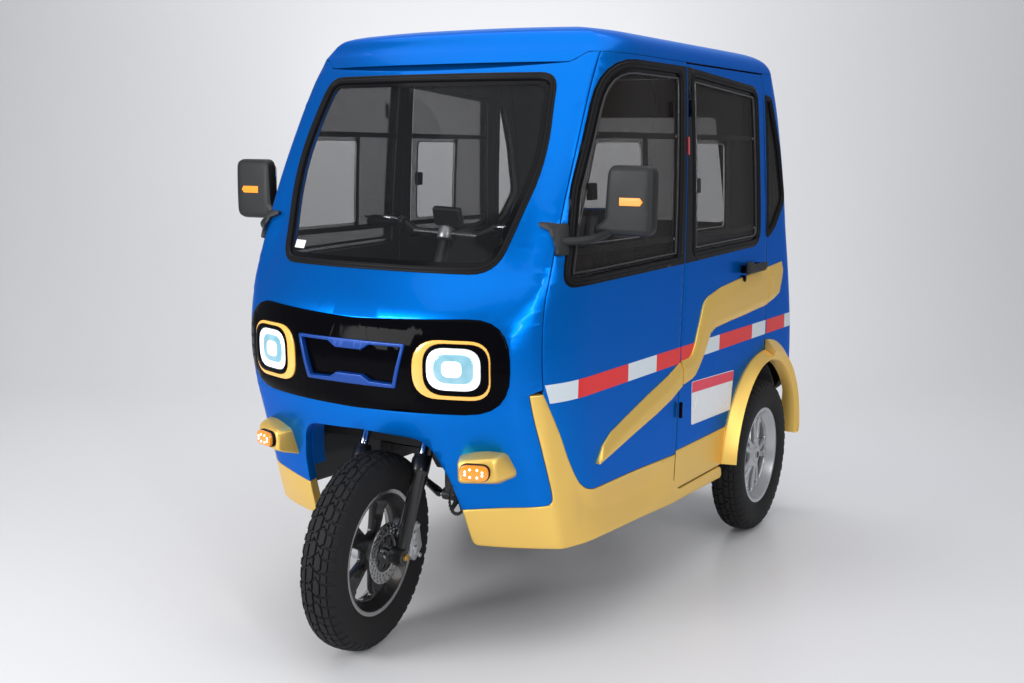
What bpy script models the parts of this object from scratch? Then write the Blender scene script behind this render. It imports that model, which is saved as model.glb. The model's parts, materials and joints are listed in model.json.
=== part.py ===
"""Enclosed electric cycle rickshaw: one steered front wheel, two driven rear wheels.

Metres, +Z up. The vehicle faces -Y, +X is its left side, the ground is z = 0 and
the origin is under the middle of its length. Distances along the vehicle are given
behind the front axle and are turned into world places by adding AXLE_Y.
"""
import math

import bmesh
import bpy
from mathutils import Matrix, Vector

# ---------------------------------------------------------------- driving sizes
REAR_REACH = 1.902           # rear panel behind the front axle
WHEELBASE = 1.54
TYRE_RADIUS = 0.266
TYRE_WIDTH = 0.105
RIM_RADIUS = 0.162           # where the tyre's bead sits
RIM_LIP = 0.006              # how far the rim's edge stands above the bead seat
RIM_WIDTH = 0.080
RIM_WALL = 0.006
REAR_TRACK = 1.03
DISC_RADIUS = 0.082

FIT = 0.0003                 # gap between pieces that touch
RUNNING = 0.0006             # radial gap of a shaft in its bore
MOVING = 0.006               # gap between pieces that move past each other
SEAM = 0.0015                # visible joint between two fixed panels

BODY_HALF_WIDTH = 0.525      # at the seam in front of the doors
BODY_TAPER = 0.030           # half width gained for each metre towards the rear
PANEL_THICKNESS = 0.026      # double-skinned body panels and doors
GLASS_THICKNESS = 0.005
GLASS_INSET = 0.006          # glass sits this far in from the painted skin
ROOF_SEAM_Z = 1.575          # joint between the roof and the panels below it
ROOF_TOP_Z = 1.662
REAR_CORNER = 0.085
REAR_CROWN = 0.020
NOSE_SPAN = 0.41             # half width of the curved nose between its corners
CORNER_RUN = 0.17            # length over which a nose corner runs out into the side

SILL_TOP_Z = 0.430
SKIRT_BOTTOM_Z = 0.290       # front skirt
SILL_BOTTOM_Z = 0.258        # under the doors
DOOR_BOTTOM_Z = 0.305
FLOOR_Z = 0.465              # walking surface of the cab
FLOOR_THICKNESS = 0.015

NOSE_EDGE_X = 0.42           # the nose panel's inner skin reaches this far out
SIDE_CUT_X = 0.43            # side window cutters start here

ARCH_RADIUS = 0.318          # rear wheel arch, lip to wheel axis
ARCH_DROP = 0.019            # arch centre above the axle height
DOOR_FLARE = 0.036           # width of the moulding on the door, in front of the wheel
BODY_FLARE = 0.072           # and of the one behind the door, where it is widest
BODY_FLARE_END = 0.044       # and at its lower end
ARCH_STEPS = 16              # facets in half a turn of the arch
FLARE_OVERRUN = 1            # facets each moulding runs past the door seam before it is trimmed
FLARE_LIP_X = 0.588
FLARE_WALL = 0.010

STEER_RAKE = math.radians(22.8)
STEER_OFFSET = 0.036         # steering axis behind the axle at axle height
STEER_AT_REST = math.radians(6.4)
STEER_LIFT = 0.00065         # raises the turned front wheel back onto the ground
FRONT_AXLE_Z = TYRE_RADIUS + STEER_LIFT
FORK_SPREAD = 0.092          # half distance between the fork legs
FORK_LEG_RADIUS = 0.018
AXLE_RADIUS = 0.010
STEM_RADIUS = 0.016
HEAD_TUBE_WALL = 0.008
HEAD_TUBE_LENGTH = 0.150
HANDLEBAR_Z = 1.085
HANDLEBAR_HALF = 0.285

CRANK_Y = 0.405
CRANK_Z = 0.318
CRANK_ARM = 0.075
CHAINRING_RADIUS = 0.060

RAIL_X = 0.22
RAIL_WIDTH = 0.040
RAIL_HEIGHT = 0.055

HEAD_TUBE_RADIUS = STEM_RADIUS + RUNNING + HEAD_TUBE_WALL
YOKE_START = 0.318           # up the steering axis from axle height
YOKE_HEIGHT = 0.028
HEAD_START = YOKE_START + YOKE_HEIGHT + MOVING
LIP_THICKNESS = 0.003
DISC_X = 0.052
DISC_THICKNESS = 0.004
STUB_RADIUS = 0.0125
STUB_REACH = 0.028           # past the wheel's middle
AXLE_TUBE_END = 0.435
CRANK_AXLE_RADIUS = 0.008
HOUSING_WALL = 0.010
HOUSING_X = 0.448            # inner wall of the rear wheel housing
HOUSING_EDGE_X = 0.505
FLOOR_HALF_WIDTH = 0.49
MAT_START = 1.04             # raised mat in the passengers' footwell, behind the front axle
MAT_END = 1.34
MAT_HALF_WIDTH = 0.40
MAT_HEIGHT = 0.004
BENCH_HALF_WIDTH = 0.43
BATTERY_HEIGHT = 0.19
WHEEL_STEPS = 36
HANDLE_START = 1.290         # front end of the door handle, behind the front axle
HANDLE_LENGTH = 0.170
HANDLE_Z = 0.940
HINGE_HEIGHTS = (0.555, 1.441)
HINGE_RADIUS = 0.006
HINGE_OUT = 0.009            # hinge line outside the painted skin

AXLE_Y = (TYRE_RADIUS - REAR_REACH) / 2
REAR_AXLE_Y = AXLE_Y + WHEELBASE
ARCH_Z = TYRE_RADIUS + ARCH_DROP

# Body sections from the skirt to the roof joint: height, nose behind the front axle,
# nose crown depth, nose corner (x, behind axle), side tuck, rear face behind the axle.
SECTIONS = (
    (0.240, 0.110, 0.090, 0.462, 0.230, 0.006, 1.880),
    (0.290, 0.086, 0.090, 0.464, 0.212, 0.003, 1.890),
    (0.430, 0.034, 0.090, 0.466, 0.172, 0.000, 1.902),
    (0.570, -0.014, 0.092, 0.466, 0.132, 0.000, 1.902),
    (0.680, -0.052, 0.094, 0.466, 0.102, 0.000, 1.895),
    (0.790, -0.068, 0.095, 0.465, 0.086, 0.000, 1.875),
    (0.880, -0.058, 0.092, 0.464, 0.088, 0.000, 1.852),
    (0.950, -0.022, 0.088, 0.464, 0.098, 0.000, 1.832),
    (1.020, 0.028, 0.085, 0.464, 0.124, 0.001, 1.812),
    (1.200, 0.118, 0.074, 0.462, 0.198, 0.005, 1.775),
    (1.350, 0.200, 0.064, 0.458, 0.272, 0.011, 1.738),
    (1.480, 0.278, 0.056, 0.452, 0.344, 0.018, 1.698),
    (1.575, 0.346, 0.050, 0.446, 0.408, 0.026, 1.662),
)
# Roof above the joint: how far each ring lies in from the joint's outline, and how
# much of the roof's rise it has reached.
ROOF_RINGS = ((0.006, 0.22), (0.020, 0.44), (0.048, 0.64), (0.100, 0.81), (0.190, 0.94), (0.300, 0.99))


# ---------------------------------------------------------------- small tools
def clear_scene():
    for old in list(bpy.data.objects):
        bpy.data.objects.remove(old, do_unlink=True)


def finish(name, colour, roughness, metallic=0.0, alpha=1.0):
    material = bpy.data.materials.new(name)
    material.use_nodes = True
    shader = material.node_tree.nodes["Principled BSDF"]
    shader.inputs["Base Color"].default_value = (*colour, 1.0)
    shader.inputs["Roughness"].default_value = roughness
    shader.inputs["Metallic"].default_value = metallic
    shader.inputs["Alpha"].default_value = alpha
    return material


def object_from(bm, name, material=None, smooth=None):
    bmesh.ops.remove_doubles(bm, verts=bm.verts, dist=0.00001)
    bmesh.ops.recalc_face_normals(bm, faces=bm.faces)
    mesh = bpy.data.meshes.new(name)
    bm.to_mesh(mesh)
    bm.free()
    if smooth is not None:
        mesh.shade_smooth()
        mesh.set_sharp_from_angle(angle=math.radians(smooth))
    piece = bpy.data.objects.new(name, mesh)
    bpy.context.scene.collection.objects.link(piece)
    if material:
        mesh.materials.append(material)
    return piece


def rename(piece, name, material):
    piece.name = name
    piece.data.name = name
    piece.data.materials.clear()
    piece.data.materials.append(material)
    for face in piece.data.polygons:
        face.material_index = 0
    return piece


def boolean(piece, tool, operation):
    """Apply one exact Boolean to the piece's own mesh."""
    modifier = piece.modifiers.new(operation, "BOOLEAN")
    modifier.object = tool
    modifier.operation = operation
    modifier.solver = "EXACT"
    bpy.context.view_layer.update()
    depsgraph = bpy.context.evaluated_depsgraph_get()
    mesh = bpy.data.meshes.new_from_object(piece.evaluated_get(depsgraph))
    piece.modifiers.clear()
    piece.data = mesh
    bpy.data.objects.remove(tool, do_unlink=True)
    return piece


def cut(piece, *tools):
    for tool in tools:
        boolean(piece, tool, "DIFFERENCE")
    return piece


def keep(piece, tool):
    return boolean(piece, tool, "INTERSECT")


def join(piece, *others):
    for other in others:
        boolean(piece, other, "UNION")
    return piece


def copy_of(piece, name="copy"):
    twin = piece.copy()
    twin.data = piece.data.copy()
    twin.name = name
    bpy.context.scene.collection.objects.link(twin)
    return twin


def mirrored(piece, name):
    """The same piece on the vehicle's other side."""
    bm = bmesh.new()
    bm.from_mesh(piece.data)
    bmesh.ops.scale(bm, vec=(-1, 1, 1), verts=bm.verts)
    bmesh.ops.reverse_faces(bm, faces=bm.faces)
    mesh = bpy.data.meshes.new(name)
    bm.to_mesh(mesh)
    bm.free()
    mesh.materials.append(piece.data.materials[0])
    twin = bpy.data.objects.new(name, mesh)
    bpy.context.scene.collection.objects.link(twin)
    return twin


def moved(piece, matrix):
    piece.data.transform(matrix)
    return piece


def box(low, high, name="box"):
    bm = bmesh.new()
    size = [h - l for l, h in zip(low, high)]
    centre = [(h + l) / 2 for l, h in zip(low, high)]
    matrix = Matrix.Translation(centre) @ Matrix.Diagonal((*size, 1))
    bmesh.ops.create_cube(bm, size=1, matrix=matrix)
    return object_from(bm, name)


def prism(outline, axis, low, high, name="prism"):
    """A flat outline pushed along X, Y or Z. Outlines are (y, z), (x, z) or (x, y)."""
    bm = bmesh.new()
    place = {
        "X": lambda u, v, w: (w, u, v),
        "Y": lambda u, v, w: (u, w, v),
        "Z": lambda u, v, w: (u, v, w),
    }[axis]
    base = bm.faces.new([bm.verts.new(place(u, v, low)) for u, v in outline])
    direction = Vector(place(0, 0, high - low))
    grown = bmesh.ops.extrude_face_region(bm, geom=[base])["geom"]
    verts = [item for item in grown if isinstance(item, bmesh.types.BMVert)]
    bmesh.ops.translate(bm, vec=direction, verts=verts)
    return object_from(bm, name)


def rounded(corners, inset=0.0, steps=4):
    """Outline of (u, v, radius) corners, moved inwards by inset, with round corners."""
    area = sum(a[0] * b[1] - b[0] * a[1] for a, b in zip(corners, corners[1:] + corners[:1]))
    turn = 1.0 if area > 0 else -1.0
    points = [Vector((u, v)) for u, v, _ in corners]
    count = len(points)
    moved_in = []
    for i, point in enumerate(points):
        ahead = (points[(i + 1) % count] - point).normalized()
        behind = (point - points[i - 1]).normalized()
        normals = [Vector((-edge.y, edge.x)) * turn for edge in (behind, ahead)]
        bisector = (normals[0] + normals[1]).normalized()
        moved_in.append(point + bisector * inset / max(bisector.dot(normals[1]), 0.2))
    outline = []
    for i, point in enumerate(moved_in):
        radius = max(corners[i][2] - inset, 0.0)
        ahead = (moved_in[(i + 1) % count] - point)
        behind = (moved_in[i - 1] - point)
        angle = ahead.angle(behind)
        if radius < 0.001:
            outline.append(tuple(point))
            continue
        reach = radius / math.tan(angle / 2)
        reach = min(reach, 0.49 * ahead.length, 0.49 * behind.length)
        start = point + behind.normalized() * reach
        end = point + ahead.normalized() * reach
        for step in range(steps + 1):
            t = step / steps
            curve = start.lerp(point, t).lerp(point.lerp(end, t), t)
            outline.append(tuple(curve))
    return outline


def turned(profile, centre, axis, segments, name="turned"):
    """Spin a closed (radius, along) profile round an axis through centre."""
    bm = bmesh.new()
    verts = [bm.verts.new((radius, 0, along)) for radius, along in profile]
    edges = [bm.edges.new((a, b)) for a, b in zip(verts, verts[1:] + verts[:1])]
    bmesh.ops.spin(bm, geom=verts + edges, cent=(0, 0, 0), axis=(0, 0, 1), angle=2 * math.pi,
                   steps=segments, use_merge=True)
    aim = Vector((0, 0, 1)).rotation_difference(Vector(axis)).to_matrix().to_4x4()
    bmesh.ops.transform(bm, matrix=Matrix.Translation(centre) @ aim, verts=bm.verts)
    return object_from(bm, name)


def rod(start, end, radius, segments=12, name="rod", end_radius=None):
    """A solid round bar between two points."""
    start, end = Vector(start), Vector(end)
    bm = bmesh.new()
    bmesh.ops.create_cone(bm, cap_ends=True, segments=segments, radius1=radius,
                          radius2=radius if end_radius is None else end_radius,
                          depth=(end - start).length)
    aim = Vector((0, 0, 1)).rotation_difference(end - start).to_matrix().to_4x4()
    bmesh.ops.transform(bm, matrix=Matrix.Translation((start + end) / 2) @ aim, verts=bm.verts)
    return object_from(bm, name)


def behind(distance):
    """World Y of a place given as a distance behind the front axle."""
    return AXLE_Y + distance


def side_view(points):
    """(distance behind the front axle, z, ...) points as world (y, z, ...)."""
    return [(behind(point[0]), *point[1:]) for point in points]


# ---------------------------------------------------------------- body form
def half_width(y_behind, tuck):
    return BODY_HALF_WIDTH + BODY_TAPER * (y_behind - 0.70) - tuck


def bezier(a, b, c, t):
    return (a.lerp(b, t)).lerp(b.lerp(c, t), t)


def section_outline(section):
    """Closed plan outline of the body at one height, front centre first."""
    _, nose, crown, corner_x, corner_y, tuck, rear = section
    half = []
    for x in (0.0, 0.10, 0.19, 0.27, 0.34, NOSE_SPAN):
        half.append(Vector((x, nose + crown * (x / NOSE_SPAN) ** 2.5)))
    edge = half[-1]
    corner = Vector((corner_x, corner_y))
    half.append(bezier(edge, Vector((0.45 * edge.x + 0.55 * corner_x, edge.y + 0.40 * (corner_y - edge.y))),
                       corner, 0.5))
    half.append(corner)
    run_out = corner_y + CORNER_RUN
    side = Vector((half_width(run_out, tuck), run_out))
    bend = Vector((side.x - 0.006, corner_y + 0.38 * CORNER_RUN))
    for t in (0.25, 0.5, 0.75):
        half.append(bezier(corner, bend, side, t))
    half.append(side)
    for y in (0.62, 0.85, 1.15, 1.45):
        half.append(Vector((half_width(y, tuck), y)))
    turn_y = rear - REAR_CORNER - REAR_CROWN
    turn_x = half_width(turn_y, tuck)
    centre = Vector((turn_x - REAR_CORNER, turn_y))
    for degrees in (0, 30, 60, 84):
        angle = math.radians(degrees)
        half.append(centre + REAR_CORNER * Vector((math.cos(angle), math.sin(angle))))
    for x in (0.30, 0.15, 0.0):
        half.append(Vector((x, rear - REAR_CROWN * (x / 0.45) ** 2)))
    other = [Vector((-point.x, point.y)) for point in reversed(half[1:-1])]
    return half + other


def moved_in(outline, distance):
    """The plan outline drawn in towards its middle by about the distance given."""
    middle = (min(p.y for p in outline) + max(p.y for p in outline)) / 2
    length = (max(p.y for p in outline) - min(p.y for p in outline)) / 2
    width = max(p.x for p in outline)
    grow_x = 1 - distance / width
    grow_y = 1 - distance / length
    return [Vector((p.x * grow_x, middle + (p.y - middle) * grow_y)) for p in outline]


def body_solid(inset=0.0, low=None, name="body"):
    """The whole body as one closed solid, its skin drawn in by inset on every side."""
    bm = bmesh.new()
    rings = []
    for section in SECTIONS:
        z = section[0] if low is None or section is not SECTIONS[0] else low
        rings.append((z, moved_in(section_outline(section), inset)))
    rise = ROOF_TOP_Z - ROOF_SEAM_Z
    for step_in, share in ROOF_RINGS:
        z = ROOF_SEAM_Z + rise * share - inset
        if z > rings[-1][0] + 0.002:
            rings.append((z, moved_in(section_outline(SECTIONS[-1]), step_in + inset)))
    loops = []
    for z, outline in rings:
        verts = [bm.verts.new((p.x, behind(p.y), z)) for p in outline]
        loops.append([bm.edges.new((a, b)) for a, b in zip(verts, verts[1:] + verts[:1])])
    for lower, upper in zip(loops, loops[1:]):
        bmesh.ops.bridge_loops(bm, edges=lower + upper)
    bmesh.ops.contextual_create(bm, geom=loops[0])
    top = bmesh.ops.contextual_create(bm, geom=loops[-1])["faces"]
    peak = bmesh.ops.poke(bm, faces=top)["verts"]
    for vert in peak:
        vert.co.z = ROOF_TOP_Z - inset
    bmesh.ops.triangulate(bm, faces=[face for face in bm.faces if len(face.verts) > 4])
    return object_from(bm, name)


def nose_corner(z):
    """Distance behind the front axle of the nose corner at a height."""
    for low, high in zip(SECTIONS, SECTIONS[1:]):
        if z <= high[0]:
            share = (z - low[0]) / (high[0] - low[0])
            return low[4] + share * (high[4] - low[4])
    return SECTIONS[-1][4]


def rear_face(z):
    for low, high in zip(SECTIONS, SECTIONS[1:]):
        if z <= high[0]:
            share = (z - low[0]) / (high[0] - low[0])
            return low[6] + share * (high[6] - low[6])
    return SECTIONS[-1][6]


# Seams, as (behind the front axle, z).
COWL_SEAM = [(nose_corner(z) + 0.010, z) for z in (0.30, 0.43, 0.57, 0.68, 0.79, 0.88, 0.95, 1.02,
                                                   1.20, 1.35, 1.48, 1.60)]
DOOR_SEAM = [(0.822, 0.24), (0.828, 0.43), (0.850, 1.00), (0.877, 1.60)]       # in front of the door
REAR_SEAM = [(1.585, 0.24), (1.572, 0.50), (1.556, 0.645), (1.486, 1.60)]      # behind the door
BACK_SEAM = [(rear_face(z) - REAR_CORNER - REAR_CROWN + 0.025, z) for z in (0.24, 0.57, 0.88, 1.20, 1.60)]

# Window openings in the rubber's outer line: (behind axle, z, corner radius).
FRONT_WINDOW = [(0.166, 0.986, 0.035), (0.822, 0.998, 0.030), (0.850, 1.556, 0.040),
                (0.570, 1.556, 0.160), (0.392, 1.516, 0.060), (0.232, 1.224, 0.260)]
DOOR_WINDOW = [(0.908, 1.004, 0.035), (1.466, 1.014, 0.060), (1.432, 1.522, 0.050), (0.905, 1.554, 0.040)]
QUARTER_WINDOW = [(1.525, 1.020, 0.020), (1.600, 1.060, 0.050), (1.692, 1.150, 0.060),
                  (1.640, 1.330, 0.100), (1.560, 1.500, 0.030), (1.500, 1.510, 0.015)]
# Front and rear windows: (x, z, corner radius).
WINDSCREEN = [(-0.342, 1.012, 0.075), (0.342, 1.012, 0.075), (0.405, 1.290, 0.500), (0.372, 1.540, 0.055),
              (-0.372, 1.540, 0.055), (-0.405, 1.290, 0.500)]
REAR_WINDOW = [(-0.33, 1.03, 0.06), (0.33, 1.03, 0.06), (0.31, 1.47, 0.05), (-0.31, 1.47, 0.05)]
WINDOW_RUBBER = 0.012        # the rubber's width outside the opening
MASK = [(-0.418, 0.672, 0.110), (0.0, 0.662, 0.600), (0.418, 0.672, 0.110), (0.416, 0.914, 0.100),
        (0.0, 0.896, 0.600), (-0.416, 0.914, 0.100)]
HEADLAMP_X = 0.285
HEADLAMP = [(0.188, 0.722, 0.045), (0.380, 0.722, 0.050), (0.380, 0.856, 0.050), (0.192, 0.856, 0.040)]
FRONT_ARCH = [(-0.272, 0.20, 0), (0.272, 0.20, 0), (0.262, 0.297, 0.01), (0.189, 0.566, 0.09),
              (0.0, 0.600, 0.30), (-0.189, 0.566, 0.09), (-0.262, 0.297, 0.01)]


def region(seam_low, seam_high, z_low, z_high, left=True):
    """Side-view block between two seams and two heights, on one side of the vehicle."""
    front = sorted((p for p in seam_low if z_low < p[1] < z_high), key=lambda p: p[1])
    back = sorted((p for p in seam_high if z_low < p[1] < z_high), key=lambda p: p[1])
    outline = [(at_height(seam_low, z_low), z_low), (at_height(seam_high, z_low), z_low), *back,
               (at_height(seam_high, z_high), z_high), (at_height(seam_low, z_high), z_high), *front[::-1]]
    span = (NOSE_EDGE_X + SEAM, 1.0) if left else (-1.0, 1.0)
    return prism(side_view(outline), "X", *span, name="region")


def at_height(seam, z):
    points = sorted(seam, key=lambda p: p[1])
    if z <= points[0][1]:
        return points[0][0]
    for low, high in zip(points, points[1:]):
        if z <= high[1]:
            return low[0] + (high[0] - low[0]) * (z - low[1]) / (high[1] - low[1])
    return points[-1][0]


def shifted(seam, distance):
    return [(y + distance, z) for y, z in seam]


def window_cut(outline, axis, low, high, inset=WINDOW_RUBBER):
    points = side_view(outline) if axis == "X" else outline
    return prism(rounded(points, inset), axis, low, high, "window")


def circle(centre_y, centre_z, radius, start, end, steps):
    points = []
    for step in range(steps + 1):
        angle = math.radians(start + (end - start) * step / steps)
        points.append((centre_y + radius * math.cos(angle), centre_z + radius * math.sin(angle)))
    return points


def body_flare_width(step):
    """Width of the moulding behind the door at a facet edge, counted from its rear end."""
    share = math.sin(math.pi / 2 * min(1.0, 2 * step / ARCH_STEPS))
    return BODY_FLARE_END + (BODY_FLARE - BODY_FLARE_END) * share


def arch_point(step, reach):
    """A point round the rear wheel, in the side view, reach outside the arch's lip."""
    angle = math.pi * step / ARCH_STEPS
    radius = ARCH_RADIUS + reach
    return (REAR_AXLE_Y + radius * math.cos(angle), ARCH_Z + radius * math.sin(angle))


def arch_cut(widths, gap, left=True, name="arch"):
    """The wheel arch with a moulding of these widths, open below, to cut from the panels round it."""
    outline = [arch_point(step, width + gap) for step, width in enumerate(widths)]
    outline += [(outline[-1][0], 0.1), (outline[0][0], 0.1)]
    inner = HOUSING_X - HOUSING_WALL - FIT
    edges = (inner, 1.0) if left else (-1.0, -inner)
    return prism(outline, "X", *edges, name=name)


DOOR_FLARE_WIDTHS = (DOOR_FLARE,) * (ARCH_STEPS + 1)
BODY_FLARE_WIDTHS = tuple(body_flare_width(step) for step in range(ARCH_STEPS + 1))
NO_FLARE_WIDTHS = (0.0,) * (ARCH_STEPS + 1)


def body_panels(paint, gold, glass, black):
    outer = body_solid(0.0, name="outer")
    inner = body_solid(PANEL_THICKNESS, low=0.10, name="inner")
    shell = boolean(outer, inner, "DIFFERENCE")
    shell.name = "shell"
    pane_outer = body_solid(GLASS_INSET, name="pane_outer")
    pane_inner = body_solid(GLASS_INSET + GLASS_THICKNESS, low=0.10, name="pane_inner")
    pane_shell = boolean(pane_outer, pane_inner, "DIFFERENCE")
    pane_shell.name = "pane_shell"

    roof = keep(copy_of(shell), box((-1, -2, ROOF_SEAM_Z + SEAM), (1, 2, 2)))
    rename(roof, "roof", paint)

    # Nose panel: between the two nose corners, above the gold skirt.
    cowl = keep(copy_of(shell), box((-1, behind(-0.5), SILL_TOP_Z + SEAM), (1, behind(0.6), ROOF_SEAM_Z)))
    behind_seam = [(at_height(COWL_SEAM, 0.40), 0.40), *COWL_SEAM[1:-1], (at_height(COWL_SEAM, 1.65), 1.65),
                   (0.8, 1.65), (0.8, 0.40)]
    for edges in ((NOSE_EDGE_X, 1.0), (-1.0, -NOSE_EDGE_X)):
        cut(cowl, prism(side_view(behind_seam), "X", *edges))
    cut(cowl, window_cut(WINDSCREEN, "Y", behind(-0.5), behind(0.7)))
    cut(cowl, prism(rounded(MASK), "Y", behind(-0.5), behind(0.35)))
    cut(cowl, prism(rounded(FRONT_ARCH), "Y", behind(-0.5), behind(0.35)))
    rename(cowl, "front_cowl", paint)

    panels = {}
    side = keep(copy_of(shell), region(shifted(COWL_SEAM, SEAM), DOOR_SEAM, SILL_TOP_Z + SEAM, ROOF_SEAM_Z))
    cut(side, window_cut(FRONT_WINDOW, "X", SIDE_CUT_X, 0.70))
    panels["side_panel"] = (side, paint)

    clear = MOVING / 2
    door = keep(copy_of(shell), region(shifted(DOOR_SEAM, 2 * clear), shifted(REAR_SEAM, -2 * clear),
                                       DOOR_BOTTOM_Z + clear, ROOF_SEAM_Z + SEAM - MOVING))
    cut(door, window_cut(DOOR_WINDOW, "X", SIDE_CUT_X, 0.70))
    cut(door, arch_cut(DOOR_FLARE_WIDTHS, FIT))
    panels["door"] = (door, paint)

    quarter = keep(copy_of(shell), region(REAR_SEAM, BACK_SEAM, SILL_BOTTOM_Z + 0.06, ROOF_SEAM_Z))
    cut(quarter, window_cut(QUARTER_WINDOW, "X", SIDE_CUT_X, 0.70))
    cut(quarter, arch_cut(BODY_FLARE_WIDTHS, FIT))
    panels["quarter_panel"] = (quarter, paint)

    rear = keep(copy_of(shell), region(shifted(BACK_SEAM, SEAM), [(2.2, 0.2), (2.2, 1.7)],
                                       SILL_BOTTOM_Z + 0.06, ROOF_SEAM_Z, left=False))
    cut(rear, window_cut(REAR_WINDOW, "Y", behind(1.3), behind(2.2)))
    cut(rear, arch_cut(BODY_FLARE_WIDTHS, FIT), arch_cut(BODY_FLARE_WIDTHS, FIT, left=False))
    rename(rear, "rear_panel", paint)

    # Gold lower body: front skirt, and the sill running back under the door.
    lower = [(-0.3, SKIRT_BOTTOM_Z), (0.22, SKIRT_BOTTOM_Z), (0.34, SILL_BOTTOM_Z + 0.012),
             (0.70, SILL_BOTTOM_Z), (1.23, SILL_BOTTOM_Z - 0.008), (1.23, DOOR_BOTTOM_Z - clear),
             (at_height(DOOR_SEAM, DOOR_BOTTOM_Z), DOOR_BOTTOM_Z - clear),
             (at_height(DOOR_SEAM, SILL_TOP_Z), SILL_TOP_Z), (-0.3, SILL_TOP_Z)]
    sill = keep(copy_of(shell), prism(side_view(lower), "X", 0.002, 1.0))
    cut(sill, prism(rounded(FRONT_ARCH), "Y", behind(-0.5), behind(0.45)))
    cut(sill, arch_cut(NO_FLARE_WIDTHS, FIT))
    panels["sill"] = (sill, gold)

    for name, (piece, material) in panels.items():
        rename(piece, name + "_left", material)
        mirrored(piece, name + "_right")

    windscreen = keep(copy_of(pane_shell), window_cut(WINDSCREEN, "Y", behind(-0.5), behind(0.7),
                                                      WINDOW_RUBBER + FIT))
    rename(windscreen, "windscreen", glass)
    rear_glass = keep(copy_of(pane_shell), window_cut(REAR_WINDOW, "Y", behind(1.3), behind(2.2),
                                                      WINDOW_RUBBER + FIT))
    rename(rear_glass, "rear_glass", glass)
    for name, outline in (("front_side_glass", FRONT_WINDOW), ("door_glass", DOOR_WINDOW),
                          ("quarter_glass", QUARTER_WINDOW)):
        pane = keep(copy_of(pane_shell), window_cut(outline, "X", SIDE_CUT_X, 0.70, WINDOW_RUBBER + FIT))
        rename(pane, name + "_left", glass)
        mirrored(pane, name + "_right")

    # Gloss mask across the nose, with the two headlamps let into it.
    mask_outer = body_solid(-0.003, name="mask_outer")
    mask_inner = body_solid(0.012, low=0.10, name="mask_inner")
    mask = boolean(mask_outer, mask_inner, "DIFFERENCE")
    keep(mask, prism(rounded(MASK, FIT), "Y", behind(-0.5), behind(0.35)))
    lamp_outer = body_solid(-0.006, name="lamp_outer")
    lamp_inner = body_solid(0.050, low=0.10, name="lamp_inner")
    lamp_shell = boolean(lamp_outer, lamp_inner, "DIFFERENCE")
    for side_name, sign in (("left", 1), ("right", -1)):
        outline = [(sign * x, z, r) for x, z, r in HEADLAMP]
        cut(mask, prism(rounded(outline), "Y", behind(-0.5), behind(0.35)))
        lamp = keep(copy_of(lamp_shell), prism(rounded(outline, FIT), "Y", behind(-0.5), behind(0.35)))
        rename(lamp, "headlamp_" + side_name, glass)
    rename(mask, "lamp_mask", black)
    for leftover in (shell, pane_shell, lamp_shell):
        bpy.data.objects.remove(leftover, do_unlink=True)


# ---------------------------------------------------------------- rear wheel arches
def flare_profile(step, width):
    """Closed outline of the moulding at a facet edge: (outside the lip, outside the panel's skin)."""
    swell = FLARE_LIP_X - half_width(arch_point(step, 0.0)[0] - AXLE_Y, 0.0)
    shoulder = 0.62 * width
    return ((width, 0.0), (shoulder, 0.62 * swell), (0.008, swell), (0.0, swell), (0.0, swell - FLARE_WALL),
            (shoulder - 0.006, 0.62 * swell - FLARE_WALL), (width - 0.006, -FLARE_WALL), (width, -FLARE_WALL))


def arch_flares(gold):
    """Mouldings that swell out over the tyre: one on the door, one behind it."""
    half = ARCH_STEPS // 2
    clear = MOVING / 2
    pieces = (("door_flare", DOOR_FLARE_WIDTHS, range(half - 1 - FLARE_OVERRUN, ARCH_STEPS + 1),
               region(shifted(DOOR_SEAM, clear), shifted(REAR_SEAM, -MOVING), DOOR_BOTTOM_Z + clear, ROOF_SEAM_Z)),
              ("arch_flare", BODY_FLARE_WIDTHS, range(0, half + FLARE_OVERRUN + 1),
               region(REAR_SEAM, [(2.2, 0.2), (2.2, 1.7)], 0.2, ROOF_SEAM_Z)))
    for name, widths, steps, extent in pieces:
        bm = bmesh.new()
        loops = []
        for step in steps:
            skin = half_width(arch_point(step, 0.0)[0] - AXLE_Y, 0.0)
            ring = [bm.verts.new((skin + out, *arch_point(step, reach)))
                    for reach, out in flare_profile(step, widths[step])]
            loops.append([bm.edges.new((a, b)) for a, b in zip(ring, ring[1:] + ring[:1])])
        for near, far in zip(loops, loops[1:]):
            bmesh.ops.bridge_loops(bm, edges=near + far)
        for end in (loops[0], loops[-1]):
            bmesh.ops.contextual_create(bm, geom=end)
        flare = keep(object_from(bm, name, gold, smooth=40), extent)
        rename(flare, name + "_left", gold)
        mirrored(flare, name + "_right")


def wheel_housing(plastic):
    """Inner arch that keeps the wheel out of the cab."""
    centre = (REAR_AXLE_Y, ARCH_Z)
    low = math.degrees(math.asin(0.075 / ARCH_RADIUS))
    outer = circle(*centre, ARCH_RADIUS + HOUSING_WALL, low, 180 - low, 14)
    inner = circle(*centre, ARCH_RADIUS, low, 180 - low, 14)
    skin = prism(outer + inner[::-1], "X", HOUSING_X, HOUSING_EDGE_X)
    join(skin, prism(outer, "X", HOUSING_X - HOUSING_WALL, HOUSING_X + 0.0005))
    rename(skin, "wheel_housing_left", plastic)
    mirrored(skin, "wheel_housing_right")


# ---------------------------------------------------------------- floor and cab fittings
def inside_body(piece, gap=0.002):
    """Trim a cab piece to the space inside the panels."""
    return keep(piece, body_solid(PANEL_THICKNESS + gap, low=0.10))


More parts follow.
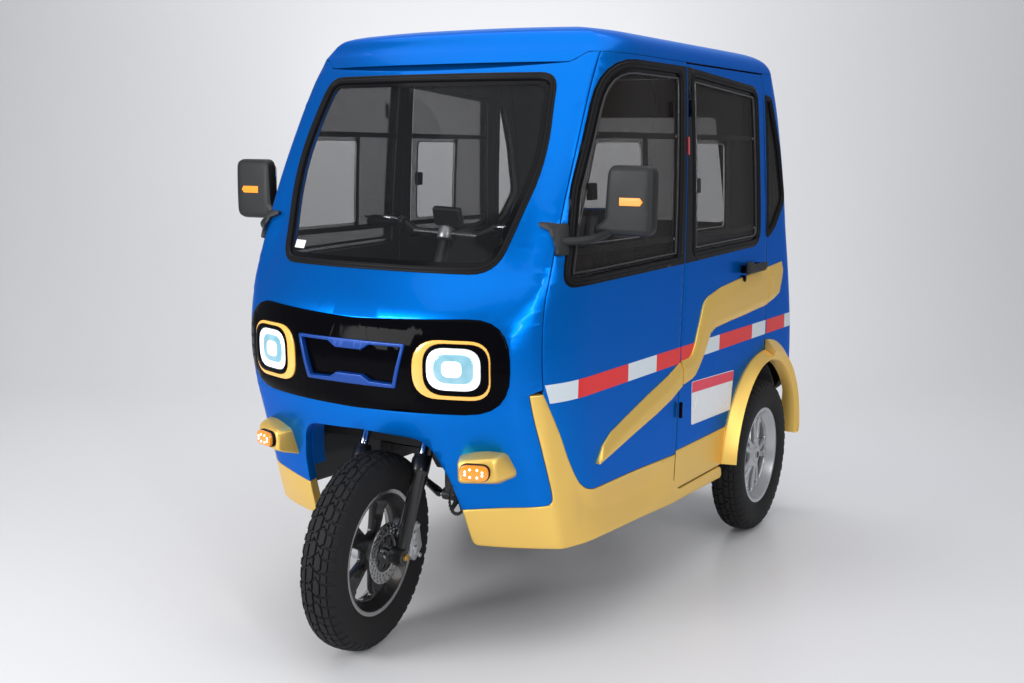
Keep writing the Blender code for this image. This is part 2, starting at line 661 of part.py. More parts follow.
def strip(path, thickness):
    """Side-view outline of a bent sheet that follows a path of (y, z), thickness below it."""
    points = [Vector(point) for point in path]
    lower = []
    for i, point in enumerate(points):
        before = (point - points[i - 1]).normalized() if i else None
        after = (points[i + 1] - point).normalized() if i + 1 < len(points) else None
        normals = [Vector((edge.y, -edge.x)) for edge in (before, after) if edge is not None]
        normal = sum(normals, Vector((0, 0))).normalized()
        lower.append(point + normal * thickness / normal.dot(normals[0]))
    return [tuple(point) for point in points + lower[::-1]]


def floor_pan(plastic):
    path = side_view([(-0.06, 0.700), (0.17, 0.700), (0.36, 0.600), (0.40, FLOOR_Z), (1.86, FLOOR_Z)])
    floor = prism(strip(path, FLOOR_THICKNESS), "X", -FLOOR_HALF_WIDTH, FLOOR_HALF_WIDTH)
    inside_body(floor)
    join(floor, box((-MAT_HALF_WIDTH, behind(MAT_START), FLOOR_Z - FLOOR_THICKNESS / 2),
                    (MAT_HALF_WIDTH, behind(MAT_END), FLOOR_Z + MAT_HEIGHT)))
    front = REAR_AXLE_Y - ARCH_RADIUS - HOUSING_WALL - 0.003
    side = HOUSING_X - HOUSING_WALL - 0.003
    for sign in (1, -1):
        edges = sorted((sign * side, sign * 0.6))
        cut(floor, box((edges[0], front, 0.3), (edges[1], behind(2.0), 0.8)))
    cut(floor, moved(rod((0, 0, 0.25), (0, 0, 0.60), HEAD_TUBE_RADIUS + MOVING, 16), steering_frame()))
    rename(floor, "floor_pan", plastic)


def dashboard(plastic):
    outline = side_view([(0.095, 0.80), (0.095, 0.955), (0.150, 0.985), (0.27, 0.985), (0.30, 0.955),
                         (0.295, 0.87), (0.20, 0.80)])
    dash = inside_body(prism(outline, "X", -0.40, 0.40), gap=0.008)
    column = rod((0, 0, 0.45), (0, 0, 0.95), STEM_RADIUS + 0.022, 16)
    cut(dash, moved(column, steering_frame()))
    rename(dash, "dashboard", plastic)


def seats(fabric, metal):
    """Driver's seat on the battery box, and the passenger bench."""
    box_top = FLOOR_Z + BATTERY_HEIGHT
    battery = box((-0.17, behind(0.72), FLOOR_Z + FIT), (0.17, behind(1.00), box_top))
    rename(battery, "battery_box", metal)
    base = box_top + FIT
    outline = side_view([(0.66, base), (1.03, base), (1.11, 1.15), (1.04, 1.16), (0.965, base + 0.10),
                         (0.68, base + 0.085)])
    rename(prism(outline, "X", -0.215, 0.215), "driver_seat", fabric)
    bench = side_view([(1.38, FLOOR_Z + FIT), (1.74, FLOOR_Z + FIT), (1.74, 1.02), (1.67, 1.03),
                       (1.62, 0.70), (1.36, 0.69)])
    rear = inside_body(prism(bench, "X", -BENCH_HALF_WIDTH, BENCH_HALF_WIDTH))
    rename(rear, "rear_seat", fabric)


# ---------------------------------------------------------------- chassis and axle
def chassis_frame(steel):
    top = FLOOR_Z - FLOOR_THICKNESS - FIT
    low = top - RAIL_HEIGHT
    half = RAIL_WIDTH / 2
    frame = box((-0.35, behind(1.215), low), (0.35, behind(1.255), top), "chassis")
    for y, reach in ((0.62, 0.47), (0.92, 0.47), (1.80, 0.38)):
        join(frame, box((-reach, behind(y), low + 0.010), (reach, behind(y + 0.035), top - 0.001)))
    for sign in (1, -1):
        x = sign * RAIL_X
        join(frame, box((x - half, behind(0.385), low - 0.001), (x + half, behind(1.86), top - 0.0005)))
    join(frame, box((-RAIL_X, behind(0.387), top - 0.022), (RAIL_X, behind(0.407), top - 0.002)))
    join(frame, bracket_shell())
    spine = side_view([(0.195, 0.665), (0.300, 0.540), (0.372, top - 0.004), (0.400, top - 0.004)])
    join(frame, prism(strip(spine, 0.036), "X", -0.015, 0.015))
    head = moved(rod((0, 0, HEAD_START), (0, 0, HEAD_START + HEAD_TUBE_LENGTH), HEAD_TUBE_RADIUS, 20),
                 steering_frame())
    join(frame, head)
    bore = moved(rod((0, 0, HEAD_START - 0.1), (0, 0, HEAD_START + 0.4), STEM_RADIUS + RUNNING, 20),
                 steering_frame())
    cut(frame, bore)
    rename(frame, "chassis_frame", steel)


def bracket_shell():
    """Hanger and bearing shell that carry the crank axle under the floor."""
    top = FLOOR_Z - FLOOR_THICKNESS - FIT
    hanger = box((-0.012, behind(CRANK_Y) - 0.014, CRANK_Z), (0.012, behind(CRANK_Y) + 0.014, top - 0.004))
    join(hanger, box((-0.012, behind(CRANK_Y) - 0.014, top - 0.030), (0.012, behind(0.63), top - 0.003)))
    shell = rod((-0.022, behind(CRANK_Y), CRANK_Z), (0.022, behind(CRANK_Y), CRANK_Z), 0.018, 16)
    join(hanger, shell)
    bore = rod((-0.1, behind(CRANK_Y), CRANK_Z), (0.1, behind(CRANK_Y), CRANK_Z), CRANK_AXLE_RADIUS + RUNNING, 16)
    return cut(hanger, bore)


def rear_axle(steel):
    y, z = REAR_AXLE_Y, TYRE_RADIUS
    wheel_x = REAR_TRACK / 2
    axle = rod((-AXLE_TUBE_END, y, z), (AXLE_TUBE_END, y, z), 0.026, 16, "axle")
    join(axle, rod((-0.10, y, z), (0.06, y, z), 0.085, 20))
    top = FLOOR_Z - FLOOR_THICKNESS - FIT - RAIL_HEIGHT - FIT
    spring_low = z + 0.026 - 0.004
    spring = [(y - 0.30, top), (y - 0.16, top - 0.055), (y, spring_low + 0.016), (y + 0.16, top - 0.055),
              (y + 0.30, top + 0.008)]
    for sign in (1, -1):
        edges = sorted((sign * 0.285, sign * 0.330))
        join(axle, prism(strip(spring, 0.014), "X", *edges))
        join(axle, rod((sign * (AXLE_TUBE_END - 0.025), y, z), (sign * (AXLE_TUBE_END + 0.015), y, z), 0.072, 20))
        join(axle, rod((sign * AXLE_TUBE_END, y, z), (sign * (wheel_x + STUB_REACH), y, z), STUB_RADIUS, 20))
    rename(axle, "rear_axle", steel)


# ---------------------------------------------------------------- steering
def steering_frame():
    """Local frame of the steering: Z up the steering axis, Y to the rear."""
    base = Vector((0, AXLE_Y + STEER_OFFSET, FRONT_AXLE_Z))
    return Matrix.Translation(base) @ Matrix.Rotation(-STEER_RAKE, 4, "X")


def steered():
    """Takes pieces modelled pointing straight ahead to the steering's resting turn."""
    frame = steering_frame()
    return frame @ Matrix.Rotation(STEER_AT_REST, 4, "Z") @ frame.inverted()


def front_axle_local():
    return steering_frame().inverted() @ Vector((0, AXLE_Y, FRONT_AXLE_Z))


def fork(black):
    axle = front_axle_local()
    leg_y = axle.y + 0.011
    crown = YOKE_START
    body = box((-FORK_SPREAD - 0.022, leg_y - 0.026, crown), (FORK_SPREAD + 0.022, 0.028, crown + YOKE_HEIGHT))
    for sign in (1, -1):
        x = sign * FORK_SPREAD
        join(body, rod((x, leg_y, axle.z - 0.02), (x, leg_y, crown + 0.01), FORK_LEG_RADIUS, 14))
        join(body, rod((x, leg_y, 0.175), (x, leg_y, 0.262), FORK_LEG_RADIUS + 0.008, 14))
        join(body, rod((x - 0.018, axle.y, axle.z), (x + 0.018, axle.y, axle.z), 0.022, 14))
    join(body, rod((-FORK_SPREAD, axle.y, axle.z), (FORK_SPREAD, axle.y, axle.z), AXLE_RADIUS, 14))
    join(body, rod((0, 0, crown + 0.01), (0, 0, stem_top()), STEM_RADIUS, 20))
    caliper = box((DISC_X + DISC_THICKNESS / 2 + MOVING, leg_y + 0.018, axle.z + 0.038),
                  (FORK_SPREAD - 0.004, leg_y + 0.075, axle.z + 0.105))
    join(body, caliper, box((FORK_SPREAD - 0.012, leg_y, axle.z + 0.045), (FORK_SPREAD + 0.004, leg_y + 0.05, axle.z + 0.09)))
    moved(body, steered() @ steering_frame())
    rename(body, "fork", black)


def stem_top():
    return (HANDLEBAR_Z - TYRE_RADIUS) / math.cos(STEER_RAKE) - 0.020


def handlebar(black):
    top = stem_top()
    bar = rod((0, 0, top + FIT), (0, 0, top + 0.036), 0.024, 16)
    height = top + 0.020
    join(bar, rod((-0.10, 0, height), (0.10, 0, height), 0.011, 10))
    for sign in (1, -1):
        bend = (sign * 0.095, 0, height)
        knee = (sign * 0.155, 0.010, height + 0.030)
        tip = (sign * HANDLEBAR_HALF, 0.050, height + 0.030)
        grip = (sign * (HANDLEBAR_HALF - 0.115), 0.0149, height + 0.030)
        join(bar, rod(bend, knee, 0.011, 10), rod(knee, tip, 0.011, 10), rod(grip, tip, 0.016, 12))
    moved(bar, steered() @ steering_frame())
    rename(bar, "handlebar", black)


# ---------------------------------------------------------------- wheels
def tyre_profile():
    """Closed (radius, along) outline, from the bead over the tread and back."""
    half = TYRE_WIDTH / 2
    bead = RIM_WIDTH / 2 - LIP_THICKNESS - FIT
    seat = RIM_RADIUS + FIT
    right = [(TYRE_RADIUS, half * 0.36), (TYRE_RADIUS - 0.006, half * 0.74), (TYRE_RADIUS - 0.022, half * 0.97),
             (TYRE_RADIUS - 0.058, half), (RIM_RADIUS + 0.018, bead + 0.008), (RIM_RADIUS + 0.008, bead),
             (seat, bead)]
    return right + [(radius, -along) for radius, along in reversed(right)]


def rim_profile():
    """Closed (radius, along) outline of the barrel with its two lips."""
    half = RIM_WIDTH / 2
    lip = RIM_RADIUS + RIM_LIP
    side = [(RIM_RADIUS, half - LIP_THICKNESS), (lip, half - LIP_THICKNESS), (lip, half),
            (RIM_RADIUS - RIM_WALL, half)]
    return side + [(radius, -along) for radius, along in reversed(side)]


def spoke(angle, offset, low, high, width, face, back):
    """One cast spoke from hub to barrel; wheel axis along Z, outer face at +Z."""
    bm = bmesh.new()
    bmesh.ops.create_cube(bm, size=1)
    for vert in bm.verts:
        outer = vert.co.y > 0
        radius = high if outer else low
        share = 0.8 if outer else 1.0
        vert.co = Vector((offset * (1.0 if outer else 0.45) + vert.co.x * width * share, radius,
                          face if vert.co.z > 0 else back))
    bmesh.ops.rotate(bm, verts=bm.verts, cent=(0, 0, 0), matrix=Matrix.Rotation(angle, 3, "Z"))
    return object_from(bm, "spoke")


def rim(spokes, pair_offset, hub_radius, hub_face, hub_back):
    """Cast wheel in its own frame: axis along Z, outer face towards +Z."""
    wheel = turned(rim_profile(), (0, 0, 0), (0, 0, 1), WHEEL_STEPS)
    centre = rod((0, 0, hub_back), (0, 0, hub_face), hub_radius, 20)
    for i in range(spokes):
        angle = 2 * math.pi * i / spokes
        for offset in ((pair_offset, -pair_offset) if pair_offset else (0.0,)):
            width = 0.016 if pair_offset else 0.030
            join(centre, spoke(angle, offset, hub_radius - 0.008, RIM_RADIUS - 0.003, width,
                               hub_face - 0.004, hub_face - 0.026))
    return join(wheel, centre)


def wheels(rubber, black, alloy):
    along_x = Matrix.Rotation(math.pi / 2, 4, "Y")
    tyre = turned(tyre_profile(), (0, 0, 0), (0, 0, 1), WHEEL_STEPS)
    front_place = steered() @ Matrix.Translation((0, AXLE_Y, FRONT_AXLE_Z)) @ along_x
    front = moved(copy_of(tyre), front_place)
    rename(front, "front_tyre", rubber)
    front_rim = rim(5, 0.0, 0.034, 0.034, -0.040)
    join(front_rim, rod((0, 0, 0.020), (0, 0, DISC_X + DISC_THICKNESS / 2), 0.026, 20))
    join(front_rim, rod((0, 0, DISC_X - DISC_THICKNESS / 2), (0, 0, DISC_X + DISC_THICKNESS / 2), DISC_RADIUS, 28))
    cut(front_rim, rod((0, 0, -0.1), (0, 0, 0.1), AXLE_RADIUS + RUNNING, 14))
    moved(front_rim, front_place)
    rename(front_rim, "front_rim", black)
    rear_rim = rim(5, 0.016, 0.048, 0.036, -0.030)
    cut(rear_rim, rod((0, 0, -0.1), (0, 0, STUB_REACH + 0.002), STUB_RADIUS + RUNNING, 20))
    place = Matrix.Translation((REAR_TRACK / 2, REAR_AXLE_Y, TYRE_RADIUS)) @ along_x
    for name, piece, material in (("rear_tyre", tyre, rubber), ("rear_rim", rear_rim, alloy)):
        moved(piece, place)
        rename(piece, name + "_left", material)
        mirrored(piece, name + "_right")


def crankset(steel):
    y, z = behind(CRANK_Y), CRANK_Z
    set_ = rod((-0.050, y, z), (0.050, y, z), CRANK_AXLE_RADIUS, 16)
    join(set_, rod((0.0285, y, z), (0.0325, y, z), CHAINRING_RADIUS, 24))
    for sign in (1, -1):
        arm_y, arm_z = sign * 0.80 * CRANK_ARM, -sign * 0.60 * CRANK_ARM
        x = sign * 0.042
        arm = rod((x, y, z), (x, y + arm_y, z + arm_z), 0.010, 8)
        pedal = box((min(sign * 0.046, sign * 0.115), y + arm_y - 0.020, z + arm_z - 0.009),
                    (max(sign * 0.046, sign * 0.115), y + arm_y + 0.020, z + arm_z + 0.009))
        join(set_, arm, pedal)
    rename(set_, "crankset", steel)


# ---------------------------------------------------------------- outside fittings
def offset_patch(out, inward, outline, axis, low, high):
    """A patch that follows the body's skin, standing out by out and reaching in to inward."""
    outer = body_solid(-out, name="patch_outer")
    inner = body_solid(inward, low=0.10, name="patch_inner")
    return keep(boolean(outer, inner, "DIFFERENCE"), prism(outline, axis, low, high))


def indicators(gold):
    pod = rounded([(0.268, 0.478, 0.020), (0.402, 0.482, 0.030), (0.398, 0.556, 0.030), (0.270, 0.566, 0.020)])
    piece = offset_patch(0.048, -FIT, pod, "Y", behind(-0.4), behind(0.25))
    rename(piece, "indicator_left", gold)
    mirrored(piece, "indicator_right")


def tail_lamps(lens):
    outline = rounded([(0.385, 0.74, 0.015), (0.470, 0.74, 0.015), (0.465, 0.97, 0.015), (0.385, 0.97, 0.015)])
    piece = offset_patch(0.012, -FIT, outline, "Y", behind(1.5), behind(2.2))
    rename(piece, "tail_lamp_left", lens)
    mirrored(piece, "tail_lamp_right")


def mirrors(black):
    """Mirror head on an arm, with a foot that follows the windscreen pillar."""
    low, high = Vector((0.545, behind(0.262), 1.110)), Vector((0.682, behind(0.306), 1.285))
    outline = rounded([(low.x, low.z, 0.02), (high.x, low.z, 0.03), (high.x, high.z, 0.03), (low.x, high.z, 0.02)])
    mirror = prism(outline, "Y", low.y, high.y)
    foot_outline = side_view([(0.152, 1.062), (0.186, 1.062), (0.200, 1.140), (0.166, 1.140)])
    foot = offset_patch(0.014, -FIT, foot_outline, "X", 0.4, 0.6)
    join(mirror, foot)
    joint = (0.484, behind(0.172), 1.100)
    elbow = (0.530, behind(0.215), 1.100)
    join(mirror, rod(joint, elbow, 0.008, 8), rod(elbow, (0.565, behind(0.284), 1.135), 0.009, 8))
    rename(mirror, "mirror_left", black)
    mirrored(mirror, "mirror_right")


def door_handles(black):
    """Pull handle near the door's rear edge: two feet and a grip that stands off the skin."""
    y_low, y_high, z = behind(HANDLE_START), behind(HANDLE_START + HANDLE_LENGTH), HANDLE_Z
    skin = half_width(HANDLE_START + HANDLE_LENGTH, 0.0) + FIT
    handle = box((skin + 0.018, y_low, z - 0.016), (skin + 0.034, y_high, z + 0.016))
    for foot in (y_low + 0.012, y_high - 0.050):
        join(handle, box((skin, foot, z - 0.012), (skin + 0.020, foot + 0.038, z + 0.012)))
    rename(handle, "door_handle_left", black)
    mirrored(handle, "door_handle_right")


def hinge_point(z, out=None):
    """A point on the left door's hinge line."""
    seam = at_height(DOOR_SEAM, z) + MOVING / 2
    tuck = 0.0
    for low, high in zip(SECTIONS, SECTIONS[1:]):
        if low[0] <= z <= high[0]:
            tuck = low[5] + (high[5] - low[5]) * (z - low[0]) / (high[0] - low[0])
    return Vector((half_width(seam, tuck) + (HINGE_OUT if out is None else out), behind(seam), z))


def door_hinges():
    """Two knuckle pairs on each side: the lower knuckle on the panel, the upper on the door."""
    top, bottom = hinge_point(HINGE_HEIGHTS[1]), hinge_point(HINGE_HEIGHTS[0])
    line = (top - bottom).normalized()
    for side in ("left", "right"):
        for part, way in (("side_panel_", -1), ("door_", 1)):
            panel = bpy.data.objects[part + side]
            material = panel.data.materials[0]
            for z in HINGE_HEIGHTS:
                centre = hinge_point(z)
                near, far = centre + line * way * 0.001, centre + line * way * 0.034
                knuckle = rod(near, far, HINGE_RADIUS, 12)
                ends = sorted((centre.y, centre.y + way * 0.028))
                heights = sorted((near.z, far.z))
                leaf = box((centre.x - HINGE_OUT - 0.004, ends[0], heights[0] + 0.0006),
                           (centre.x - HINGE_OUT + 0.0035, ends[1], heights[1] - 0.0006))
                neck = box((centre.x - HINGE_OUT + 0.0025, min(centre.y, centre.y + way * 0.004), heights[0] + 0.0006),
                           (centre.x, max(centre.y, centre.y + way * 0.004), heights[1] - 0.0006))
                join(leaf, neck)
                if side == "right":
                    for piece in (leaf, knuckle):
                        bmesh_flip(piece)
                join(panel, leaf, knuckle)
            rename(panel, part + side, material)


def bmesh_flip(piece):
    bm = bmesh.new()
    bm.from_mesh(piece.data)
    bmesh.ops.scale(bm, vec=(-1, 1, 1), verts=bm.verts)
    bmesh.ops.reverse_faces(bm, faces=bm.faces)
    bm.to_mesh(piece.data)
    bm.free()


def put_origins():
    """Each moving piece's origin goes on the line it turns about."""
    hinge = hinge_point(HINGE_HEIGHTS[0])
    steering = steering_frame().translation
    wheel = steered() @ Vector((0, AXLE_Y, FRONT_AXLE_Z))
    origins = {
        "fork": steering, "handlebar": steering, "front_tyre": wheel, "front_rim": wheel,
        "crankset": Vector((0, behind(CRANK_Y), CRANK_Z)),
    }
    for side, sign in (("left", 1), ("right", -1)):
        axle_end = Vector((sign * REAR_TRACK / 2, REAR_AXLE_Y, TYRE_RADIUS))
        door_line = Vector((sign * hinge.x, hinge.y, hinge.z))
        origins.update({"rear_tyre_" + side: axle_end, "rear_rim_" + side: axle_end,
                        "door_" + side: door_line, "door_glass_" + side: door_line,
                        "door_flare_" + side: door_line, "door_handle_" + side: door_line})
    for name, point in origins.items():
        piece = bpy.data.objects[name]
        piece.data.transform(Matrix.Translation(-point))
        piece.location = point


def main():
    clear_scene()
    paint = finish("blue_paint", (0.0, 0.16, 0.62), 0.25, 0.3)
    gold = finish("gold_paint", (0.66, 0.46, 0.17), 0.35, 0.4)
    glass = finish("tinted_glass", (0.05, 0.06, 0.07), 0.05, 0.0, 0.4)
    black = finish("gloss_black", (0.01, 0.01, 0.012), 0.15)
    plastic = finish("grey_plastic", (0.10, 0.105, 0.11), 0.6)
    rubber = finish("tyre_rubber", (0.02, 0.02, 0.02), 0.8)
    alloy = finish("cast_alloy", (0.70, 0.71, 0.73), 0.3, 1.0)
    steel = finish("black_steel", (0.03, 0.03, 0.035), 0.45, 0.6)
    fabric = finish("seat_leather", (0.07, 0.05, 0.04), 0.6)
    red = finish("red_lens", (0.6, 0.02, 0.02), 0.2)
    body_panels(paint, gold, glass, black)
    door_hinges()
    arch_flares(gold)
    wheel_housing(plastic)
    floor_pan(plastic)
    dashboard(plastic)
    seats(fabric, steel)
    chassis_frame(steel)
    rear_axle(steel)
    fork(steel)
    handlebar(steel)
    wheels(rubber, black, alloy)
    crankset(steel)
    indicators(gold)
    tail_lamps(red)
    mirrors(black)
    door_handles(black)
    put_origins()


main()
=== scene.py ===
"""Looks of an enclosed electric cycle rickshaw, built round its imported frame.

Metres, +Z up, the vehicle faces -Y and +X is its left side. Most distances along the
vehicle are given behind the front axle, as the body is drawn, and behind() places them.
"""
import itertools
import json
import math

import bmesh
import bpy
import numpy as np
from mathutils import Matrix, Vector
from mathutils.bvhtree import BVHTree

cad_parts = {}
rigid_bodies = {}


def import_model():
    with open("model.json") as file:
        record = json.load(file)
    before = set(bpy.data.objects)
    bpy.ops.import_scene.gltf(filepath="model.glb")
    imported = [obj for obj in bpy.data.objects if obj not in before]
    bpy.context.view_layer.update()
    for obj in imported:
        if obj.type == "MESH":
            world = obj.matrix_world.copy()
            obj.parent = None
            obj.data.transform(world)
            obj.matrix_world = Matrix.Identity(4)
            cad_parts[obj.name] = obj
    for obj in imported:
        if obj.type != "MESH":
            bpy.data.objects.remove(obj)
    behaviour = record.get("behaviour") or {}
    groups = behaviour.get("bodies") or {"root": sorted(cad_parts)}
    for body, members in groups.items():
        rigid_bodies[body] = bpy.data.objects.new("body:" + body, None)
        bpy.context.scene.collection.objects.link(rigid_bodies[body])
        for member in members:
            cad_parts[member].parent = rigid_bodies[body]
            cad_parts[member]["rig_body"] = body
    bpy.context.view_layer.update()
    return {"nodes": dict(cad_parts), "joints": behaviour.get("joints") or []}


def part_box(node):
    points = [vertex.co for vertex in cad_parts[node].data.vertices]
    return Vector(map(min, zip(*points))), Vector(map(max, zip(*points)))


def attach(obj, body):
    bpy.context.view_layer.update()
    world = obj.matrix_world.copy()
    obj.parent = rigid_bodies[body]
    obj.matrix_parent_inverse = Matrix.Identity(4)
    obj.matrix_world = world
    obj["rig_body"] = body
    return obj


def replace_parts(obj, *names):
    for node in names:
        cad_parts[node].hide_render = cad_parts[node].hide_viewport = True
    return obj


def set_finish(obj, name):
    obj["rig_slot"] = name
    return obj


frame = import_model()
nodes = frame["nodes"]

# ---------- studio
# A pale, slightly glossy floor with a wide white room above it. Large soft panels hang
# over the vehicle and stand beyond its left side and its nose, as in a car studio.
camera_place = (1.8885, -3.2861, 1.3269)
camera_turn, camera_dip, camera_roll = 30.392, 9.148, 0.529
camera_data = bpy.data.cameras.new("camera")
camera_data.lens = 42.455
camera_data.sensor_width = 36.0
camera = bpy.data.objects.new("camera", camera_data)
camera.matrix_world = (
    Matrix.Translation(camera_place) @ Matrix.Rotation(math.radians(camera_turn), 4, "Z")
    @ Matrix.Rotation(math.radians(90 - camera_dip), 4, "X")
    @ Matrix.Rotation(math.radians(camera_roll), 4, "Z"))
bpy.context.scene.collection.objects.link(camera)
bpy.context.scene.camera = camera
bpy.context.scene.view_settings.view_transform = "Standard"


def new_material(name, colour, roughness, metallic=0.0, slot="", **constants):
    """A Principled material; constants name other sockets, with _ for each space."""
    material = bpy.data.materials.new(name)
    material["slot"] = slot or name
    material.use_nodes = True
    shader = material.node_tree.nodes["Principled BSDF"]
    shader.inputs["Base Color"].default_value = (*colour, 1.0)
    shader.inputs["Roughness"].default_value = roughness
    shader.inputs["Metallic"].default_value = metallic
    for socket, value in constants.items():
        shader.inputs[socket.replace("_", " ")].default_value = value
    return material


def add_node(tree, kind, inputs=None, **settings):
    """A node of a shader tree with its settings, and the values of its open inputs."""
    node = tree.nodes.new(kind)
    for key, value in settings.items():
        setattr(node, key, value)
    for socket, value in (inputs or {}).items():
        node.inputs[socket].default_value = value
    return node


def wire(tree, *routes):
    """Join an output to an input for each (node, output, node, input)."""
    for source, output, target, socket in routes:
        tree.links.new(source.outputs[output], target.inputs[socket])


def area_light(name, place, aim, size, power):
    lamp = bpy.data.lights.new(name, "AREA")
    lamp.shape = "RECTANGLE"
    lamp.size, lamp.size_y = size
    lamp.energy = power
    holder = bpy.data.objects.new(name, lamp)
    direction = Vector(aim) - Vector(place)
    holder.matrix_world = Matrix.Translation(place) @ direction.to_track_quat("-Z", "Y").to_matrix().to_4x4()
    bpy.context.scene.collection.objects.link(holder)


# The floor's paint is clear from behind, so that a camera beyond the wall still sees the vehicle.
floor_paint = new_material("studio_floor", (0.73, 0.73, 0.745), 0.30)
tree = floor_paint.node_tree
place = add_node(tree, "ShaderNodeTexCoord")
cloud = add_node(tree, "ShaderNodeTexNoise", {"Scale": 1.4})
sheen = add_node(tree, "ShaderNodeMapRange", {"To Min": 0.26, "To Max": 0.40})
face_side = add_node(tree, "ShaderNodeNewGeometry")
front_only = add_node(tree, "ShaderNodeMath", {0: 1.0}, operation="SUBTRACT")
shader = tree.nodes["Principled BSDF"]
wire(
    tree, (place, "Object", cloud, "Vector"), (cloud, "Fac", sheen, "Value"),
    (sheen, "Result", shader, "Roughness"), (face_side, "Backfacing", front_only, 1),
    (front_only, "Value", shader, "Alpha"))


def open_line(bm, spots):
    """A chain of edges through some spots."""
    verts = [bm.verts.new(spot) for spot in spots]
    return [bm.edges.new(pair) for pair in zip(verts, verts[1:])]


def extrude_by(bm, edges, direction):
    grown = bmesh.ops.extrude_edge_only(bm, edges=edges)["geom"]
    bmesh.ops.translate(
        bm, vec=direction, verts=[item for item in grown if isinstance(item, bmesh.types.BMVert)])


# The floor turns up into a wall behind the vehicle, square to the camera.
sweep_radius, sweep_start, sweep_half, wall_top = 2.6, 2.6, 9.0, 7.0
bm = bmesh.new()
profile = [(-sweep_half, 0.0), (sweep_start, 0.0)]
profile += [(sweep_start + sweep_radius * math.sin(angle), sweep_radius * (1 - math.cos(angle)))
            for angle in np.radians(np.linspace(6, 90, 15))]
profile.append((sweep_start + sweep_radius, wall_top))
extrude_by(bm, open_line(bm, [(-sweep_half, y, z) for y, z in profile]), (2 * sweep_half, 0, 0))
bmesh.ops.rotate(bm, matrix=Matrix.Rotation(math.radians(camera_turn), 3, "Z"), verts=bm.verts)
bmesh.ops.recalc_face_normals(bm, faces=bm.faces)
bmesh.ops.reverse_faces(bm, faces=bm.faces)
floor_mesh = bpy.data.meshes.new("floor")
bm.to_mesh(floor_mesh)
bm.free()
floor_mesh.shade_smooth()
floor_mesh.materials.append(floor_paint)
floor = bpy.data.objects.new("floor", floor_mesh)
bpy.context.scene.collection.objects.link(floor)

world = bpy.data.worlds.new("studio")
bpy.context.scene.world = world
world.use_nodes = True
air = world.node_tree.nodes["Background"]
air.inputs["Color"].default_value = (0.92, 0.95, 1.0, 1.0)
air.inputs["Strength"].default_value = 0.34

area_light("overhead", (0.4, -0.6, 3.9), (0.1, -0.1, 0.5), (5.0, 4.6), 80)
area_light("left_panel", (3.6, -1.2, 2.6), (0.3, 0.0, 0.7), (1.6, 1.2), 22)
area_light("nose_panel", (-1.6, -4.2, 1.75), (-0.1, -0.8, 0.8), (1.8, 1.4), 125)
area_light("corner_strip", (2.9, -2.75, 2.0), (0.4, -0.6, 0.9), (0.10, 2.2), 34)
area_light("wall_light", (-1.2, 1.6, 4.6), (-2.4, 4.6, 1.2), (4.0, 2.0), 100)

# ---------- painted body panels
# Pressed sheet panels on a hidden frame: the nose, the side in front of the door, the doors,
# the rear quarters, the tail and the roof. All follow one form, drawn as plan sections, and
# each panel is a flat outline with rolled edges laid onto that form.
axle_y = -0.818              # front axle, the place all distances behind it start from
rear_axle_y = 0.722
body_half_width = 0.525
body_taper = 0.030
nose_span = 0.41
corner_run = 0.17
rear_corner = 0.085
rear_crown = 0.020
panel_thickness = 0.026
roof_seam_z = 1.575
roof_top_z = 1.662
seam = 0.0015
moving = 0.006
# Height, nose behind the axle, nose crown, corner x, corner behind the axle, side tuck, rear face.
sections = np.array((
    (0.240, 0.110, 0.090, 0.462, 0.230, 0.006, 1.880), (0.290, 0.086, 0.090, 0.464, 0.212, 0.003, 1.890),
    (0.430, 0.034, 0.090, 0.466, 0.172, 0.000, 1.902), (0.570, -0.014, 0.092, 0.466, 0.132, 0.000, 1.902),
    (0.680, -0.052, 0.094, 0.466, 0.102, 0.000, 1.895), (0.790, -0.068, 0.095, 0.465, 0.086, 0.000, 1.875),
    (0.880, -0.058, 0.092, 0.464, 0.088, 0.000, 1.852), (0.950, -0.022, 0.088, 0.464, 0.098, 0.000, 1.832),
    (1.020, 0.028, 0.085, 0.464, 0.124, 0.001, 1.812), (1.200, 0.118, 0.074, 0.462, 0.198, 0.005, 1.775),
    (1.350, 0.200, 0.064, 0.458, 0.272, 0.011, 1.738), (1.480, 0.278, 0.056, 0.452, 0.344, 0.018, 1.698),
    (1.575, 0.346, 0.050, 0.446, 0.408, 0.026, 1.662)))
section_slopes = np.gradient(sections[:, 1:], sections[:, 0], axis=0)


def behind(distance):
    """World Y of a distance behind the front axle."""
    return axle_y + distance


def section_at(z):
    """The section's six sizes at a height, on a smooth curve through the table."""
    heights = sections[:, 0]
    z = min(max(z, heights[0]), heights[-1])
    i = min(int(np.searchsorted(heights, z, "right")) - 1, len(heights) - 2)
    run = heights[i + 1] - heights[i]
    t = (z - heights[i]) / run
    low, high = sections[i, 1:], sections[i + 1, 1:]
    return (low * (2 * t ** 3 - 3 * t * t + 1) + high * (3 * t * t - 2 * t ** 3)
            + run * (section_slopes[i] * (t ** 3 - 2 * t * t + t) + section_slopes[i + 1] * (t ** 3 - t * t)))


def curve3(a, b, c, steps):
    """Points along the quadratic curve from a to c that leans towards b."""
    t = np.linspace(0, 1, steps)[:, None]
    return (1 - t) ** 2 * np.array(a) + 2 * t * (1 - t) * np.array(b) + t * t * np.array(c)


